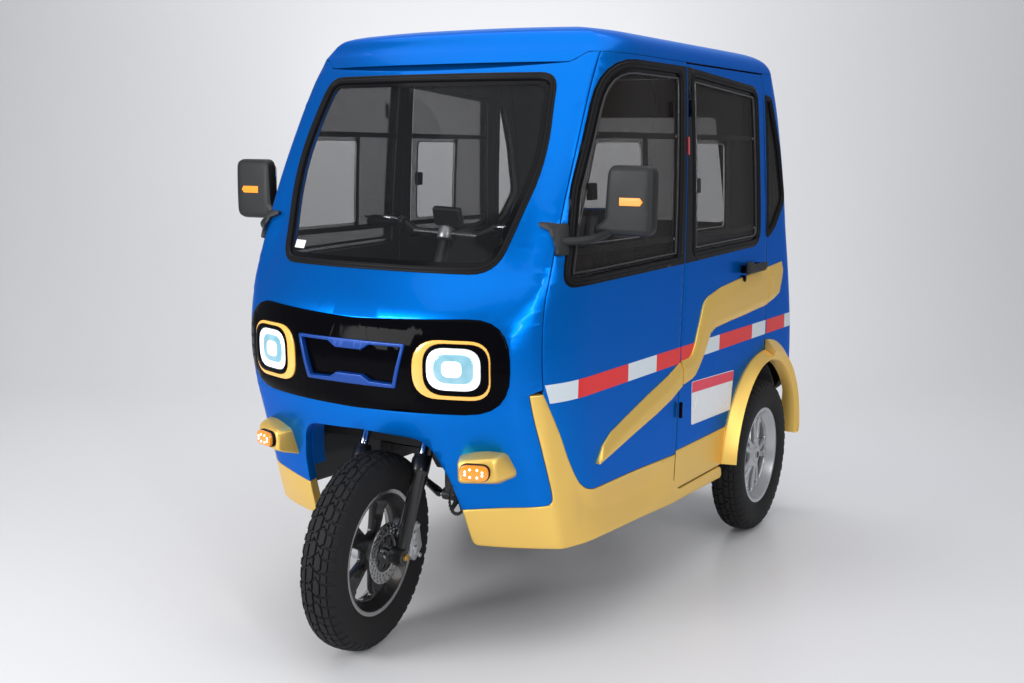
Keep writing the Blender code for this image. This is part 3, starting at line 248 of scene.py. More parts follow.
def half_plan(z):
    """Plan outline of the left half at a height, from the nose to the tail, as (x, behind the axle)."""
    nose, crown, corner_x, corner_y, tuck, rear = section_at(z)

    def flank_x(y):
        return body_half_width + body_taper * (y - 0.70) - tuck

    x = np.linspace(0, nose_span, 24)
    front = np.stack([x, nose + crown * (x / nose_span) ** 2.5], 1)
    edge, corner = front[-1], np.array((corner_x, corner_y))
    lean = (0.45 * edge[0] + 0.55 * corner_x, edge[1] + 0.40 * (corner_y - edge[1]))
    side_y = corner_y + corner_run
    side = (flank_x(side_y), side_y)
    turn_y = rear - rear_corner - rear_crown
    flank = np.linspace(side_y, turn_y, 16)
    turn = np.radians(np.linspace(0, 84, 12))
    centre = np.array((flank_x(turn_y) - rear_corner, turn_y))
    tail = np.linspace(0.44, 0, 12)
    return np.concatenate([
        front, curve3(edge, lean, corner, 7)[1:],
        curve3(corner, (side[0] - 0.006, corner_y + 0.38 * corner_run), side, 12)[1:],
        np.stack([flank_x(flank), flank], 1)[1:-1],
        centre + rear_corner * np.stack([np.cos(turn), np.sin(turn)], 1),
        np.stack([tail, rear - rear_crown * (tail / 0.45) ** 2], 1)])


# The form on a grid of heights, read in three ways: how far out the flank is at a place along
# the vehicle, how far forward the nose is at a place across it, and a walk round the tail.
grid_z = np.arange(0.22, 1.6001, 0.01)
grid_y = np.arange(-0.90, 1.0801, 0.005)
grid_x = np.arange(0, 0.5501, 0.005)
plans = [half_plan(z) for z in grid_z]
flank_grid = np.array([np.interp(grid_y, plan[:, 1] + axle_y, plan[:, 0]) for plan in plans])
nose_grid = np.array([np.interp(grid_x, plan[:54, 0], plan[:54, 1] + axle_y) for plan in plans])


def walked(path):
    """How far each point of a path is along it."""
    return np.concatenate([[0], np.cumsum(np.hypot(*np.diff(path, axis=0).T))])


def walk_tables(paths):
    """Where a walk along each plan outline gets to, as grids of x and y."""
    walks = [walked(path) for path in paths]
    return [np.array([np.interp(grid_s, walk, path[:, side]) for walk, path in zip(walks, paths)])
            for side in (0, 1)]


grid_s = np.arange(0, 2.6001, 0.005)
tail_walk = walk_tables([plan[::-1] for plan in plans])
nose_walk = walk_tables(plans)


def sample(grid, columns, across, z):
    """Read a grid between its nodes."""
    row = np.clip((z - grid_z[0]) / (grid_z[1] - grid_z[0]), 0, len(grid_z) - 1.001)
    column = np.clip((across - columns[0]) / (columns[1] - columns[0]), 0, len(columns) - 1.001)
    i, j = row.astype(int), column.astype(int)
    r, c = row - i, column - j
    return ((1 - r) * ((1 - c) * grid[i, j] + c * grid[i, j + 1])
            + r * ((1 - c) * grid[i + 1, j] + c * grid[i + 1, j + 1]))


def flank_at(y, z):
    return float(sample(flank_grid, grid_y, np.array([y]), np.array([z]))[0])


def slope(grid, columns, across, z):
    """How fast a grid's value changes across and upwards."""
    reach = 0.006
    return (
        (sample(grid, columns, across + reach, z) - sample(grid, columns, across - reach, z)) / (2 * reach),
        (sample(grid, columns, across, z + reach) - sample(grid, columns, across, z - reach)) / (2 * reach))


def stand_off(points, normals, out):
    return points + normals / np.linalg.norm(normals, axis=1)[:, None] * out[:, None]


def on_flank(flat):
    """Lay (y, z, out) points onto the left flank."""
    y, z, out = flat.T
    along, up = slope(flank_grid, grid_y, y, z)
    points = np.stack([sample(flank_grid, grid_y, y, z), y, z], 1)
    return stand_off(points, np.stack([np.ones(len(y)), -along, -up], 1), out)


def on_nose(flat):
    """Lay (x, z, out) points onto the nose."""
    x, z, out = flat.T
    across, up = slope(nose_grid, grid_x, np.abs(x), z)
    points = np.stack([x, sample(nose_grid, grid_x, np.abs(x), z), z], 1)
    centre = np.clip(np.abs(x) / 0.012, 0, 1)
    return stand_off(points, np.stack([across * np.sign(x) * centre, -np.ones(len(x)), up], 1), out)


def along_walk(flat, tables, facing):
    """Lay (walk, z, out) points onto the form; a walk below 0 is on the right side."""
    walk, z, out = flat.T
    s, side = np.abs(walk), np.where(walk < 0, -1.0, 1.0)
    (x_along, x_up), (y_along, y_up) = [slope(table, grid_s, s, z) for table in tables]
    x, y = [sample(table, grid_s, s, z) for table in tables]
    centre = np.clip(s / 0.012, 0, 1)
    normals = np.stack([-y_along * side * centre, x_along, y_along * x_up - x_along * y_up], 1) * facing
    return stand_off(np.stack([x * side, y + axle_y, z], 1), normals, out)


def on_tail(flat):
    """Lay points onto the tail and round its corners, by the walk from its middle."""
    return along_walk(flat, tail_walk, 1)


def on_skirt(flat):
    """Lay points onto the nose and along the sides, by the walk from the nose's middle."""
    return along_walk(flat, nose_walk, -1)


def mirrored(corners):
    """The same corners on the other side of the middle, in the order that carries an outline on."""
    return [(-x, *rest) for x, *rest in corners[::-1]]


def rounded(corners, steps=7, spacing=0.02):
    """Closed outline of (u, v, radius) corners with round corners and evenly parted straights."""
    points = [Vector(corner[:2]) for corner in corners]
    outline = []
    for i, point in enumerate(points):
        ahead, back = points[(i + 1) % len(points)] - point, points[i - 1] - point
        radius = corners[i][2] if len(corners[i]) > 2 else 0.0
        if radius < 0.001:
            outline.append(point)
            continue
        reach = min(radius / math.tan(ahead.angle(back) / 2), 0.49 * ahead.length, 0.49 * back.length)
        start, end = point + back.normalized() * reach, point + ahead.normalized() * reach
        outline += [Vector(p) for p in curve3(start, point, end, steps)]
    evened = []
    for a, b in zip(outline, outline[1:] + outline[:1]):
        parts = max(1, math.ceil((b - a).length / spacing))
        evened += [a.lerp(b, step / parts) for step in range(parts)]
    area = sum(a.cross(b) for a, b in zip(evened, evened[1:] + evened[:1]))
    return evened if area > 0 else evened[::-1]


def shrunk(outline, distance):
    """The outline drawn in by a distance, keeping its number of points."""
    moved = []
    for i, point in enumerate(outline):
        ahead = (outline[(i + 1) % len(outline)] - point).normalized()
        back = (point - outline[i - 1]).normalized()
        normal = (Vector((-ahead.y, ahead.x)) + Vector((-back.y, back.x))).normalized()
        moved.append(point + normal * distance / max(normal.dot(Vector((-back.y, back.x))), 0.35))
    return moved


def closed_loop(bm, spots):
    verts = [bm.verts.new(spot) for spot in spots]
    return [bm.edges.new(pair) for pair in zip(verts, verts[1:] + verts[:1])]


def ring(bm, outline, out):
    """One closed loop of edges at a height over the form."""
    return closed_loop(bm, [(point.x, point.y, out) for point in outline])


def skin(bm, loops, capped=True):
    """Bridge closed loops in their order, and close both ends."""
    for near, far in zip(loops, loops[1:]):
        bmesh.ops.bridge_loops(bm, edges=near + far)
    for end in (loops[0], loops[-1]) if capped else ():
        bmesh.ops.contextual_create(bm, geom=end)


def object_from(bm, name, material, body, smooth=38, merge=0.0):
    """Turn a closed bmesh into a piece of the vehicle that rides on a body."""
    if merge:
        bmesh.ops.remove_doubles(bm, verts=bm.verts, dist=merge)
    bmesh.ops.recalc_face_normals(bm, faces=bm.faces)
    mesh = bpy.data.meshes.new(name)
    bm.to_mesh(mesh)
    bm.free()
    mesh.shade_smooth()
    mesh.set_sharp_from_angle(angle=math.radians(smooth))
    for one in material if isinstance(material, (list, tuple)) else [material]:
        mesh.materials.append(one)
    piece = bpy.data.objects.new(name, mesh)
    bpy.context.scene.collection.objects.link(piece)
    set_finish(piece, mesh.materials[0]["slot"])
    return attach(piece, body)


def lay(bm, place, shift=None):
    """Move a flat bmesh of (u, v, out) onto the form; shift adds to out, from (u, v)."""
    flat = np.array([vert.co for vert in bm.verts])
    if shift is not None:
        flat[:, 2] += shift(flat[:, 0], flat[:, 1])
    for vert, spot in zip(bm.verts, place(flat)):
        vert.co = spot


def cut_along(bm, axis, at):
    """Part every face of a flat bmesh along a straight line."""
    normal = Vector((1, 0, 0)) if axis == "u" else Vector((0, 1, 0))
    bmesh.ops.bisect_plane(
        bm, geom=bm.verts[:] + bm.edges[:] + bm.faces[:], dist=0.00005, plane_co=normal * at,
        plane_no=normal)


def plate(name, place, outline, material, thickness, body="body", holes=(), edge=0.0015, step=0.03, top=0.0,
          shift=None, lining=None, smooth=38, lined_from=0.3):
    """A panel with rolled edges laid on the form; lining finishes it beyond a share of its thickness."""
    bm = bmesh.new()
    edge = min(edge, thickness / 2.2)
    profile = (
        (edge, -thickness), (0.0, edge - thickness), (0.0, -edge), (0.3 * edge, -0.3 * edge), (edge, 0.0))
    front, back = [], []
    for loop, side in [(outline, 1)] + [(hole, -1) for hole in holes]:
        rings = [ring(bm, shrunk(loop, side * inset), top + out) for inset, out in profile]
        skin(bm, rings, capped=False)
        back += rings[0]
        front += rings[-1]
    for edges in (front, back):
        bmesh.ops.triangle_fill(bm, edges=edges, use_beauty=True, normal=(0, 0, 1))
    spots = np.array([(point.x, point.y) for point in outline])
    if step:
        for axis, values in zip("uv", spots.T):
            for at in np.arange(math.ceil(values.min() / step) * step, values.max(), step):
                cut_along(bm, axis, at)
    if lining:
        for face in bm.faces:
            face.material_index = int(face.calc_center_median().z < top - lined_from * thickness)
        material = [material, lining]
    lay(bm, place, shift)
    return object_from(bm, name, material, body, smooth, merge=0.0002)


def band(name, place, outline, profile, material, body):
    """A strip that follows an outline; profile is its closed cross section as (inset, out)."""
    bm = bmesh.new()
    edges = ring(bm, shrunk(outline, profile[0][0]), profile[0][1])
    order = {vert: i for i, vert in enumerate(bm.verts)}
    for inset, out in profile[1:] + profile[:1]:
        grown = bmesh.ops.extrude_edge_only(bm, edges=edges)["geom"]
        drawn_in, moved = shrunk(outline, inset), {}
        for vert in [item for item in grown if isinstance(item, bmesh.types.BMVert)]:
            source = next(
                other for other in (edge.other_vert(vert) for edge in vert.link_edges) if other in order)
            moved[vert] = order[source]
            vert.co = (*drawn_in[order[source]], out)
        order = moved
        edges = [item for item in grown if isinstance(item, bmesh.types.BMEdge)
                 and item.verts[0] in moved and item.verts[1] in moved]
    bmesh.ops.remove_doubles(bm, verts=bm.verts, dist=0.000002)
    lay(bm, place)
    return object_from(bm, name, material, body, 50)


def other_side(piece, name, body):
    """The same piece on the vehicle's right side."""
    bm = bmesh.new()
    bm.from_mesh(piece.data)
    bmesh.ops.scale(bm, vec=(-1, 1, 1), verts=bm.verts)
    bmesh.ops.reverse_faces(bm, faces=bm.faces)
    mesh = bpy.data.meshes.new(name)
    bm.to_mesh(mesh)
    bm.free()
    for material in piece.data.materials:
        mesh.materials.append(material)
    twin = bpy.data.objects.new(name, mesh)
    bpy.context.scene.collection.objects.link(twin)
    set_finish(twin, piece["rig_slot"])
    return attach(twin, body)


def both_sides(piece, stand_in=None):
    """Mirror a left piece named NAME_left, and hide the plain solids that the two stand for."""
    stem = piece.name.split(".")[0].removesuffix("_left")
    body = piece["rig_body"].replace("_left", "_right")
    twin = other_side(piece, stem + "_right", body)
    if stand_in:
        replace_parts(piece, stand_in + "_left")
        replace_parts(twin, stand_in + "_right")
    return piece, twin


# One group serves every moulded, painted or cast surface: broad patches of slightly different
# gloss, and a fine grain for a bump.
uneven_surface = bpy.data.node_groups.new("uneven_surface", "ShaderNodeTree")
for socket, kind in (
        ("Place", "NodeSocketVector"), ("Scale", "NodeSocketFloat"), ("Smoothest", "NodeSocketFloat"),
        ("Roughest", "NodeSocketFloat")):
    uneven_surface.interface.new_socket(socket, in_out="INPUT", socket_type=kind)
for socket in ("Roughness", "Grain"):
    uneven_surface.interface.new_socket(socket, in_out="OUTPUT", socket_type="NodeSocketFloat")
group_in = add_node(uneven_surface, "NodeGroupInput")
group_out = add_node(uneven_surface, "NodeGroupOutput")
patches = add_node(uneven_surface, "ShaderNodeTexNoise", {"Scale": 6.0, "Detail": 4.0})
spread = add_node(uneven_surface, "ShaderNodeMapRange")
grains = add_node(uneven_surface, "ShaderNodeTexNoise", {"Detail": 2.0})
wire(uneven_surface, (group_in, "Place", patches, "Vector"), (group_in, "Place", grains, "Vector"),
     (group_in, "Scale", grains, "Scale"), (patches, "Fac", spread, "Value"),
     (group_in, "Smoothest", spread, "To Min"), (group_in, "Roughest", spread, "To Max"),
     (spread, "Result", group_out, "Roughness"), (grains, "Fac", group_out, "Grain"))


def surface(name, colour, gloss, grain, metallic=0.0, bump=None, stretch=(1, 1, 1), slot="", **sockets):
    """A finish between two roughnesses; grain is its fineness, and bump its strength and depth."""
    material = new_material(name, colour, gloss[0], metallic, slot, **sockets)
    tree = material.node_tree
    shader = tree.nodes["Principled BSDF"]
    place = add_node(tree, "ShaderNodeTexCoord")
    mapping = add_node(tree, "ShaderNodeMapping", {"Scale": stretch})
    uneven = add_node(tree, "ShaderNodeGroup", node_tree=uneven_surface)
    for socket, value in (("Scale", grain), ("Smoothest", gloss[0]), ("Roughest", gloss[1])):
        uneven.inputs[socket].default_value = value
    wire(tree, (place, "Object", mapping, "Vector"), (mapping, "Vector", uneven, "Place"),
         (uneven, "Roughness", shader, "Roughness"))
    if bump:
        relief = add_node(tree, "ShaderNodeBump", {"Strength": bump[0], "Distance": bump[1]})
        wire(tree, (uneven, "Grain", relief, "Height"), (relief, "Normal", shader, "Normal"))
    return material


blue_paint = surface(
    "blue_paint", (0.0, 0.165, 0.66), (0.30, 0.38), 900, 0.80, (0.05, 0.0002), Coat_Weight=0.10,
    Coat_Roughness=0.04, Specular_IOR_Level=0.1, Specular_Tint=(0.0, 0.45, 1.0, 1.0))
gold_paint = surface(
    "gold_paint", (0.95, 0.62, 0.150), (0.34, 0.44), 900, 0.66, (0.05, 0.0002), Coat_Weight=0.1,
    Coat_Roughness=0.2, Specular_IOR_Level=0.3)
gloss_black = surface("gloss_black", (0.002, 0.002, 0.003), (0.05, 0.12), 60, Specular_IOR_Level=0.03)


liner_grey = surface(
    "liner_grey", (0.075, 0.077, 0.080), (0.5, 0.7), 350, bump=(0.3, 0.0006), slot="grey_plastic")
trim_charcoal = surface(
    "trim_charcoal", (0.022, 0.022, 0.024), (0.5, 0.7), 350, bump=(0.3, 0.0006), slot="grey_plastic")


def seam_line(points):
    """A seam given as (behind the axle, z) points, as a function from height to world Y."""
    heights = [z for _, z in points]
    return lambda z: behind(float(np.interp(z, heights, [y for y, _ in points])))


def along_seam(line, low, high, parts=24, shift=0.0):
    return [(line(z) + shift, z) for z in np.linspace(low, high, parts)]


def side_outline(*corners):
    """Outline on the flank from (behind the axle, z, radius) corners."""
    return rounded([(behind(distance), *rest) for distance, *rest in corners])


def nose_seam(z):
    return behind(section_at(z)[3] + 0.010)


door_seam = seam_line([(0.822, 0.24), (0.828, 0.43), (0.850, 1.00), (0.877, 1.60)])
rear_seam = seam_line([(1.585, 0.24), (1.572, 0.50), (1.556, 0.645), (1.486, 1.60)])


def back_seam(z):
    return behind(section_at(z)[5] - rear_corner - rear_crown + 0.025)


window_rubber = 0.012
front_window = side_outline(
    (0.166, 0.986, 0.035), (0.822, 0.998, 0.030), (0.850, 1.556, 0.040), (0.410, 1.556, 0.220),
    (0.232, 1.224, 0.260))
door_window = side_outline(
    (0.908, 1.004, 0.035), (1.466, 1.014, 0.060), (1.432, 1.522, 0.050), (0.905, 1.554, 0.040))
quarter_window = side_outline(
    (1.525, 1.020, 0.020), (1.600, 1.060, 0.050), (1.692, 1.150, 0.060), (1.640, 1.330, 0.100),
    (1.560, 1.500, 0.030), (1.500, 1.510, 0.015))
windscreen = rounded([
    (-0.342, 1.012, 0.075), (0.342, 1.012, 0.075), (0.405, 1.290, 0.500), (0.372, 1.520, 0.055),
    (-0.372, 1.520, 0.055), (-0.405, 1.290, 0.500)])
rear_window = rounded([(-0.33, 1.03, 0.06), (0.33, 1.03, 0.06), (0.31, 1.47, 0.05), (-0.31, 1.47, 0.05)])
mask_outline = rounded([
    (-0.418, 0.672, 0.110), (0.0, 0.662, 0.600), (0.418, 0.672, 0.110), (0.416, 0.914, 0.100),
    (0.0, 0.896, 0.600), (-0.416, 0.914, 0.100)])
gold_line_z = 0.430
arch_z, arch_radius = 0.285, 0.318
door_flare, body_flare, body_flare_end = 0.036, 0.072, 0.044


def flare_width(angle):
    """Width of the moulding behind the door, by the angle above the horizontal at the rear."""
    return body_flare_end + (body_flare - body_flare_end) * math.sin(min(angle, math.pi / 2))


def arch_place(angle, reach):
    radius = arch_radius + reach
    return rear_axle_y + radius * math.cos(angle), arch_z + radius * math.sin(angle)


def through(points, parts=6):
    """Points on a smooth curve through the points given."""
    points = [np.array(point, float) for point in points]
    ends = [2 * points[0] - points[1], *points, 2 * points[-1] - points[-2]]
    curve = []
    for a, b, c, d in zip(ends, ends[1:], ends[2:], ends[3:]):
        for t in np.arange(parts) / parts:
            curve.append(0.5 * (2 * b + (c - a) * t + (2 * a - 5 * b + 4 * c - d) * t ** 2
                                + (3 * b - a - 3 * c + d) * t ** 3))
    return [tuple(float(value) for value in point) for point in [*curve, points[-1]]]


# Edges that the gold lower body shares with the panels above it, as (behind the axle, z) on the
# flank and (x, z) on the nose.
riser_tip_z = 0.733
riser_back = through([(0.103, 0.722), (0.128, 0.676), (0.169, 0.603), (0.199, 0.543), (0.234, 0.486),
                      (0.262, 0.456), (0.302, 0.438), (0.359, 0.435), (0.565, 0.431), (0.825, 0.420)], 5)
riser_front = through([(0.449, 0.722), (0.453, 0.653), (0.458, 0.578), (0.463, 0.500), (0.4655, 0.445),
                       (0.461, 0.424), (0.444, 0.417), (0.356, 0.412), (0.252, 0.398)], 5)
nose_side = [(flank_at(nose_seam(z), z), z) for z in np.linspace(riser_tip_z, roof_seam_z, 26)]
arch_side = [(0.197, 0.592, 0.075), (0.238, 0.480, 0.12)]
front_arch = [*mirrored(arch_side), (0.0, 0.600, 0.30), *arch_side]
# The cowl's top edge dips under the roof's front lip, which leaves a long dark crescent.
brow_half, brow_end = 0.385, 0.435
lip_z = 1.5475


def brow_drop(x):
    """How far the roof's front lip hangs below the level of its joint."""
    t = min(max((brow_end - abs(x)) / (brow_end - brow_half), 0.0), 1.0)
    return (roof_seam_z - lip_z) * t * t * (3 - 2 * t)


cowl_top = [(x, roof_seam_z - 0.0010 - brow_drop(x) - 0.0165 * max(0.0, 1 - (x / brow_half) ** 2))
            for x in np.linspace(0.440, -0.440, 67)]
cowl = plate(
    "front_cowl", on_nose,
    rounded([
        *riser_front[::-1], *nose_side, *cowl_top, *mirrored(nose_side), *mirrored(riser_front[::-1]),
        *front_arch]),
    blue_paint, panel_thickness, edge=0.001, holes=[shrunk(windscreen, window_rubber), mask_outline],
    lining=trim_charcoal, lined_from=0.6)
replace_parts(cowl, "front_cowl")
plate("brow_flange", on_nose, rounded([(-0.41, 1.508), (0.41, 1.508), (0.41, 1.568), (-0.41, 1.568)]),
      blue_paint, 0.004, top=-0.014)

side = plate(
    "side_panel_left", on_flank,
    rounded([
        *along_seam(door_seam, 0.4215, roof_seam_z),
        *along_seam(nose_seam, riser_tip_z, roof_seam_z, 34, seam)[::-1],
        *[(behind(y), z) for y, z in riser_back[:-1]]]),
    blue_paint, panel_thickness, edge=0.0025, holes=[shrunk(front_window, window_rubber)],
    lining=trim_charcoal)
both_sides(side, "side_panel")

door_low, door_high = 0.308, roof_seam_z + seam - moving
arc = [arch_place(angle, door_flare) for angle in np.radians(np.linspace(180 - 3.7, 88, 30))]
door_rear = along_seam(rear_seam, 0.646, door_high, 24, -moving)
door_arc_up = [p for p in arc if p[1] > gold_line_z + 0.03]
door_arc_low = [p for p in arc if p[1] < gold_line_z + 0.025]
door_skin = plate(
    "door_left", on_flank,
    rounded([
        (door_seam(gold_line_z) + moving, gold_line_z), (door_arc_up[0][0] - 0.012, gold_line_z, 0.035),
        *door_arc_up, *door_rear,
        *along_seam(door_seam, gold_line_z + 0.02, door_high, 24, moving)[::-1]]),
    blue_paint, panel_thickness, "door_left", edge=0.0025, holes=[shrunk(door_window, window_rubber)],
    lining=trim_charcoal)
both_sides(door_skin, "door")
door_foot = plate(
    "door_foot_left", on_flank,
    rounded([
        (door_seam(door_low) + moving, door_low, 0.03), (arc[0][0], door_low), *door_arc_low,
        (door_arc_up[0][0] - 0.002, gold_line_z + 0.028),
        (door_arc_up[0][0] - 0.013, gold_line_z - 0.0004, 0.030),
        (door_seam(gold_line_z) + moving, gold_line_z - 0.0004)]),
    gold_paint, panel_thickness, "door_left", edge=0.0020, lining=trim_charcoal)
both_sides(door_foot)

back_arc = [arch_place(angle, flare_width(angle)) for angle in np.radians(np.linspace(87, 0, 40))]
quarter_arc = [p for p in back_arc if p[0] < back_seam(p[1]) - 0.002]
quarter = plate(
    "quarter_panel_left", on_flank,
    rounded([
        (rear_seam(0.674), 0.674), *quarter_arc,
        *along_seam(back_seam, quarter_arc[-1][1] + 0.004, roof_seam_z, 30),
        *along_seam(rear_seam, 0.70, roof_seam_z)[::-1]]),
    blue_paint, panel_thickness, holes=[shrunk(quarter_window, window_rubber)], lining=trim_charcoal)
both_sides(quarter, "quarter_panel")


def tail_walk_to(y, z):
    """How far round from the tail's middle the form is at a place along the vehicle."""
    path = half_plan(z)[::-1]
    return float(np.interp(axle_y - y, -path[:, 1], walked(path)))


tail_low = 0.318
tail_arc = [p for p in back_arc if p[0] > back_seam(p[1]) + seam and p[1] > tail_low]
tail_edge = [(tail_walk_to(y, z), z) for y, z in
             [*tail_arc[::-1], *along_seam(back_seam, tail_arc[0][1] + 0.006, roof_seam_z, 30, seam)]]
tail = plate(
    "rear_panel", on_tail,
    rounded([(-tail_edge[0][0], tail_low), (tail_edge[0][0], tail_low), *tail_edge, *mirrored(tail_edge)]),
    blue_paint, panel_thickness, holes=[shrunk(rear_window, window_rubber)], lining=trim_charcoal)
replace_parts(tail, "rear_panel")

# The roof is one pressing: a rolled lower edge at the joint, a tight shoulder and a nearly flat top.
roof_rings = np.array((
    (0.0, 0.02), (0.002, 0.10), (0.006, 0.22), (0.012, 0.33), (0.020, 0.44), (0.032, 0.545),
    (0.048, 0.64), (0.070, 0.73), (0.100, 0.81), (0.140, 0.885), (0.190, 0.94), (0.240, 0.970),
    (0.300, 0.99), (0.380, 0.998)))


def roof_loop(bm, inset, z, lean=0.0, lip=False):
    plan = half_plan(roof_seam_z)
    plan[:, 1] += lean * np.clip((0.62 - plan[:, 1]) / 0.2, 0, 1)
    heights = np.full(len(plan), z)
    if lip:
        for i in range(40):
            drop = brow_drop(plan[i, 0])
            if drop:
                plan[i] = half_plan(roof_seam_z - drop)[i]
                heights[i] -= drop
    plan = np.concatenate([plan, plan[-2:0:-1] * (-1, 1)])
    heights = np.concatenate([heights, heights[-2:0:-1]])
    middle = (plan[:, 1].min() + plan[:, 1].max()) / 2
    length = (plan[:, 1].max() - plan[:, 1].min()) / 2
    grow = np.array((1 - inset / plan[:, 0].max(), 1 - inset / length))
    return closed_loop(
        bm, [(x, behind(y), z) for (x, y), z in zip((plan - (0, middle)) * grow + (0, middle), heights)])


bm = bmesh.new()
rise, lift, lean = roof_top_z - roof_seam_z, 0.0004, 0.016
loops = [roof_loop(bm, inset + panel_thickness, roof_seam_z + seam + rise * share - panel_thickness * share)
         for inset, share in roof_rings[::-1]]
loops += [roof_loop(bm, inset, roof_seam_z + lift, lip=True) for inset in (0.004, 0.0)]
loops += [roof_loop(bm, inset, roof_seam_z + lift + (rise - lift) * share,
                    lean * math.sin(math.pi * min(1.0, share / 0.64))) for inset, share in roof_rings]
skin(bm, loops)
roof = object_from(bm, "roof", [blue_paint, trim_charcoal], "body", merge=0.0001)
cab_middle = Vector((0, 0.1, 1.0))
for face in roof.data.polygons:
    face.material_index = int((face.center - cab_middle).dot(face.normal) < 0)
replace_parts(roof, "roof")

# ---------- gold lower body
# Pressed skirts under the nose and the doors, painted gold. A horn of each rises between the
# nose and the side, and a long scoop is pressed in below the side panel's lower edge.
def skirt_spot(x, distance, z):
    """The place on the form nearest to (x, behind the axle) at a height, as (walk, z)."""
    plan = half_plan(z)
    walk = walked(plan)
    steps = np.arange(0, 1.8, 0.0002)
    gap = np.hypot(np.interp(steps, walk, plan[:, 0]) - x, np.interp(steps, walk, plan[:, 1]) - distance)
    return float(steps[gap.argmin()]), z


def nose_spot(x, z):
    return skirt_spot(x, float(sample(nose_grid, grid_x, np.array([x]), np.array([z]))[0]) - axle_y, z)


def side_spot(distance, z):
    return skirt_spot(flank_at(behind(distance), z), distance, z)


scoop_depth, horn_height = 0.013, 0.003
scoop_lip = np.array((
    (0.199, 0.543), (0.234, 0.486), (0.262, 0.456), (0.302, 0.438), (0.359, 0.435), (0.565, 0.431),
    (0.825, 0.420)))
scoop_crease = np.array((
    (0.215, 0.500), (0.240, 0.447), (0.272, 0.408), (0.328, 0.380), (0.466, 0.365), (0.617, 0.356),
    (0.744, 0.354), (0.825, 0.364)))


def scoop(walk, z):
    """How far the scoop and the bevelled horn lie in or out from the form."""
    across = sample(nose_walk[0], grid_s, walk, z)
    y = sample(nose_walk[1], grid_s, walk, z)
    lip = np.interp(y, *scoop_lip.T)
    crease = np.interp(y, *scoop_crease.T)
    fade = np.clip((y - 0.215) / 0.075, 0, 1) * np.clip((0.80 - y) / 0.20, 0, 1)
    above = np.clip((lip - z) / (lip - crease), 0, 1)
    below = np.clip((z - 0.285) / (crease - 0.285), 0, 1)
    corner = np.clip(1 - np.abs(y - np.interp(z, (0.29, 0.42, 0.72), (0.224, 0.185, 0.094))) / 0.030, 0, 1)
    depth = scoop_depth * fade * fade * (3 - 2 * fade) * np.minimum(above, below)
    return horn_height * corner * (across > 0.3) - depth


sill_top_z, sill_low_z = 0.3020, 0.2600
skirt_front = [nose_spot(x, z - seam) for x, z in riser_front[::-1]]
skirt_front = [(walk + seam, z) for walk, z in skirt_front]
skirt_back = [side_spot(y + 0.0012, z - 0.0012) for y, z in riser_back if z > 0.4225 or y < 0.8]
seam_walk = [(side_spot(door_seam(z) - axle_y, z)[0], z) for z in (0.4185, 0.38, 0.34)]
skirt = plate(
    "sill_left", on_skirt,
    rounded([
        *skirt_front, *skirt_back, *seam_walk, (seam_walk[0][0], sill_top_z, 0.02),
        (*side_spot(1.198, sill_top_z), 0.02), (*side_spot(1.214, sill_low_z), 0.035),
        (*side_spot(0.815, 0.2660), 0.0),
        *[side_spot(y, z) for y, z in ((0.581, 0.2800), (0.372, 0.2890))], side_spot(0.250, 0.2880),
        (skirt_spot(0.445, 0.205, 0.290)[0], 0.290), (*skirt_spot(0.262, 0.114, 0.291), 0.020)]),
    gold_paint, panel_thickness, edge=0.003, step=0.012, shift=scoop, smooth=50, lining=liner_grey,
    lined_from=0.6)
both_sides(skirt, "sill")

# ---------- gold side trim
# A bent gold moulding that climbs from the sill to the rear corner, cut at both door seams. Its
# top edge is bevelled, and its upper run has an undercut shelf below the face.
trim_top = np.array((
    (0.320, 0.502), (0.333, 0.520), (0.353, 0.546), (0.400, 0.573), (0.479, 0.596), (0.613, 0.634),
    (0.757, 0.671), (0.846, 0.702), (0.900, 0.704), (0.918, 0.712), (0.936, 0.735), (0.968, 0.798),
    (0.992, 0.850), (1.005, 0.865), (1.031, 0.877), (1.133, 0.897), (1.325, 0.914), (1.521, 0.927),
    (1.675, 0.938)))
trim_crease = np.array((
    (0.320, 0.502), (0.345, 0.520), (0.437, 0.552), (0.599, 0.597), (0.768, 0.641), (0.846, 0.680),
    (0.915, 0.688), (0.934, 0.700), (0.951, 0.722), (0.985, 0.777), (1.008, 0.822), (1.030, 0.835),
    (1.076, 0.845), (1.199, 0.861), (1.524, 0.896), (1.675, 0.910)))
trim_face = np.array((
    (0.320, 0.502), (0.396, 0.518), (0.526, 0.547), (0.665, 0.576), (0.762, 0.601), (0.846, 0.632),
    (0.906, 0.640), (0.930, 0.648), (0.955, 0.668), (0.993, 0.704), (1.040, 0.765), (1.070, 0.781),
    (1.100, 0.787), (1.337, 0.801), (1.526, 0.817), (1.675, 0.836)))
trim_foot = np.array(
    ((1.060, 0.763), (1.100, 0.773), (1.207, 0.780), (1.339, 0.786), (1.535, 0.797), (1.602, 0.812)))
trim_height = 0.013


def trim_relief(y, z):
    """Bevel above the face and undercut below it."""
    y = y - axle_y
    top, crease = np.interp(y, *trim_top.T), np.interp(y, *trim_crease.T)
    face = np.interp(y, *trim_face.T)
    bevel = np.clip((z - crease) / np.maximum(top - crease, 0.002), 0, 1)
    under = np.clip((face - z) / 0.018, 0, 1) * (y > 1.05)
    return -0.009 * bevel - 0.010 * under


def between(points, low, high):
    """The part of a line of (behind the axle, z) points between two distances, ends included."""
    inside = [(behind(y), z) for y, z in points if low < y < high]
    ends = [(behind(y), float(np.interp(y, *points.T))) for y in (low, high)]
    return [ends[0], *inside, ends[1]]


